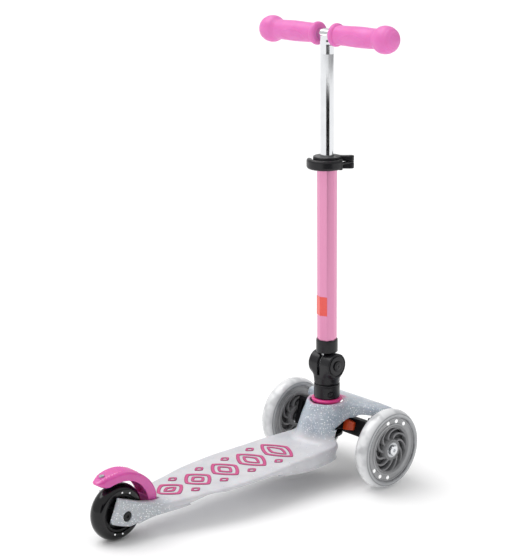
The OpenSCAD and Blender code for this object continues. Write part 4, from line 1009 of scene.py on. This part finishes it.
# ---------------------------------------------------------------------------------------------
# Camera, floor and lights, which aren't part of the scooter: a camera behind it and to its right, a
# plain pale paper floor and a soft studio.
TURN, RISE, ROLL = (math.radians(a) for a in (-43.0706, 13.5969, 1.3513))
back = Vector((math.sin(TURN) * math.cos(RISE), -math.cos(TURN) * math.cos(RISE), math.sin(RISE)))
right = Vector((math.cos(TURN), math.sin(TURN), 0))
up = back.cross(right)
tilted_right = math.cos(ROLL) * right + math.sin(ROLL) * up
tilted_up = -math.sin(ROLL) * right + math.cos(ROLL) * up
lens = bpy.data.cameras.new("camera")
lens.lens, lens.sensor_width = 97.92, 36.0
lens.clip_start, lens.clip_end = 0.05, 300
camera = bpy.data.objects.new("camera", lens)
bpy.context.scene.collection.objects.link(camera)
stand = Matrix((tilted_right, tilted_up, back)).transposed().to_4x4()
stand.translation = Vector((0.254034, 0.252173, 0.240815)) + 2.5 * back
camera.matrix_world = stand
bpy.context.scene.camera = camera

floor_mesh = bpy.data.meshes.new("floor")
floor_mesh.from_pydata([(-90, -90, 0), (90, -90, 0), (90, 90, 0), (-90, 90, 0)], [], [(0, 1, 2, 3)])
floor = bpy.data.objects.new("floor", floor_mesh)
bpy.context.scene.collection.objects.link(floor)
pale, tree, shader = finish("pale_paper_floor")[:3]
put(tree, shader, {"Base Color": linear("#FBFBFB"), "Roughness": 0.9, "Specular IOR Level": 0.0})
floor_mesh.materials.append(pale)

# A curved black card, 1.3 m in front of the column, that only the polished metal mirrors: it gives
# the chrome its dark streak.
card_ring = [(0.16 + 1.3 * math.cos(math.radians(a)), 1.3 * math.sin(math.radians(a)))
             for a in range(209, 266, 4)]
card_mesh = bpy.data.meshes.new("black_card")
card_mesh.from_pydata([(x, y, z) for x, y in card_ring for z in (0.0, 0.5)], [],
                      [(2 * i, 2 * i + 2, 2 * i + 3, 2 * i + 1) for i in range(len(card_ring) - 1)])
card = bpy.data.objects.new("black_card", card_mesh)
bpy.context.scene.collection.objects.link(card)
card.visible_camera = card.visible_diffuse = card.visible_shadow = False
felt, tree, shader = finish("black_felt_card")[:3]
put(tree, shader, {"Base Color": linear("#1C1B1C"), "Roughness": 0.95, "Specular IOR Level": 0.0})
card_mesh.materials.append(felt)

# A pale studio: brighter overhead and on the left, with a dim wall on the right.
world = bpy.data.worlds.new("studio")
bpy.context.scene.world = world
world.use_nodes = True
tree = world.node_tree
way = put(tree, "ShaderNodeTexCoord").outputs["Generated"]
to_left = put(tree, "ShaderNodeVectorMath", {0: way, 1: (-0.73, 0.68, 0.0)}, operation="DOT_PRODUCT")
rising = put(tree, "ShaderNodeSeparateXYZ", {0: way})
level = span(tree, to_left.outputs["Value"], 0.0, 1.0, -1.0, 1.0)
walls = put(tree, "ShaderNodeValToRGB", {0: level})
for spot, bright in ((0.05, 0.45), (0.30, 0.50), (0.42, 0.9), (0.60, 0.9), (0.95, 0.80)):
    walls.color_ramp.elements.new(spot).color = (bright, bright, bright, 1)
walls.color_ramp.elements[0].color = (0.4, 0.4, 0.4, 1)
walls.color_ramp.elements[-1].color = (0.7, 0.7, 0.7, 1)
roof = span(tree, rising.outputs["Z"], 0.0, 1.0, 0.15, 0.75, interpolation_type="SMOOTHSTEP")
sky = mix(tree, roof, walls.outputs[0], (0.82, 0.82, 0.82, 1))
put(tree, tree.nodes["Background"], {"Color": sky, "Strength": 0.95})
overhead = bpy.data.lights.new("overhead_softbox", "SUN")
overhead.energy, overhead.angle = 1.55, math.radians(50)
holder = bpy.data.objects.new("overhead_softbox", overhead)
holder.rotation_euler = Vector((-0.35, 0.55, 1.35)).to_track_quat("Z", "Y").to_euler()
bpy.context.scene.collection.objects.link(holder)
bpy.context.scene.view_settings.view_transform = "Standard"
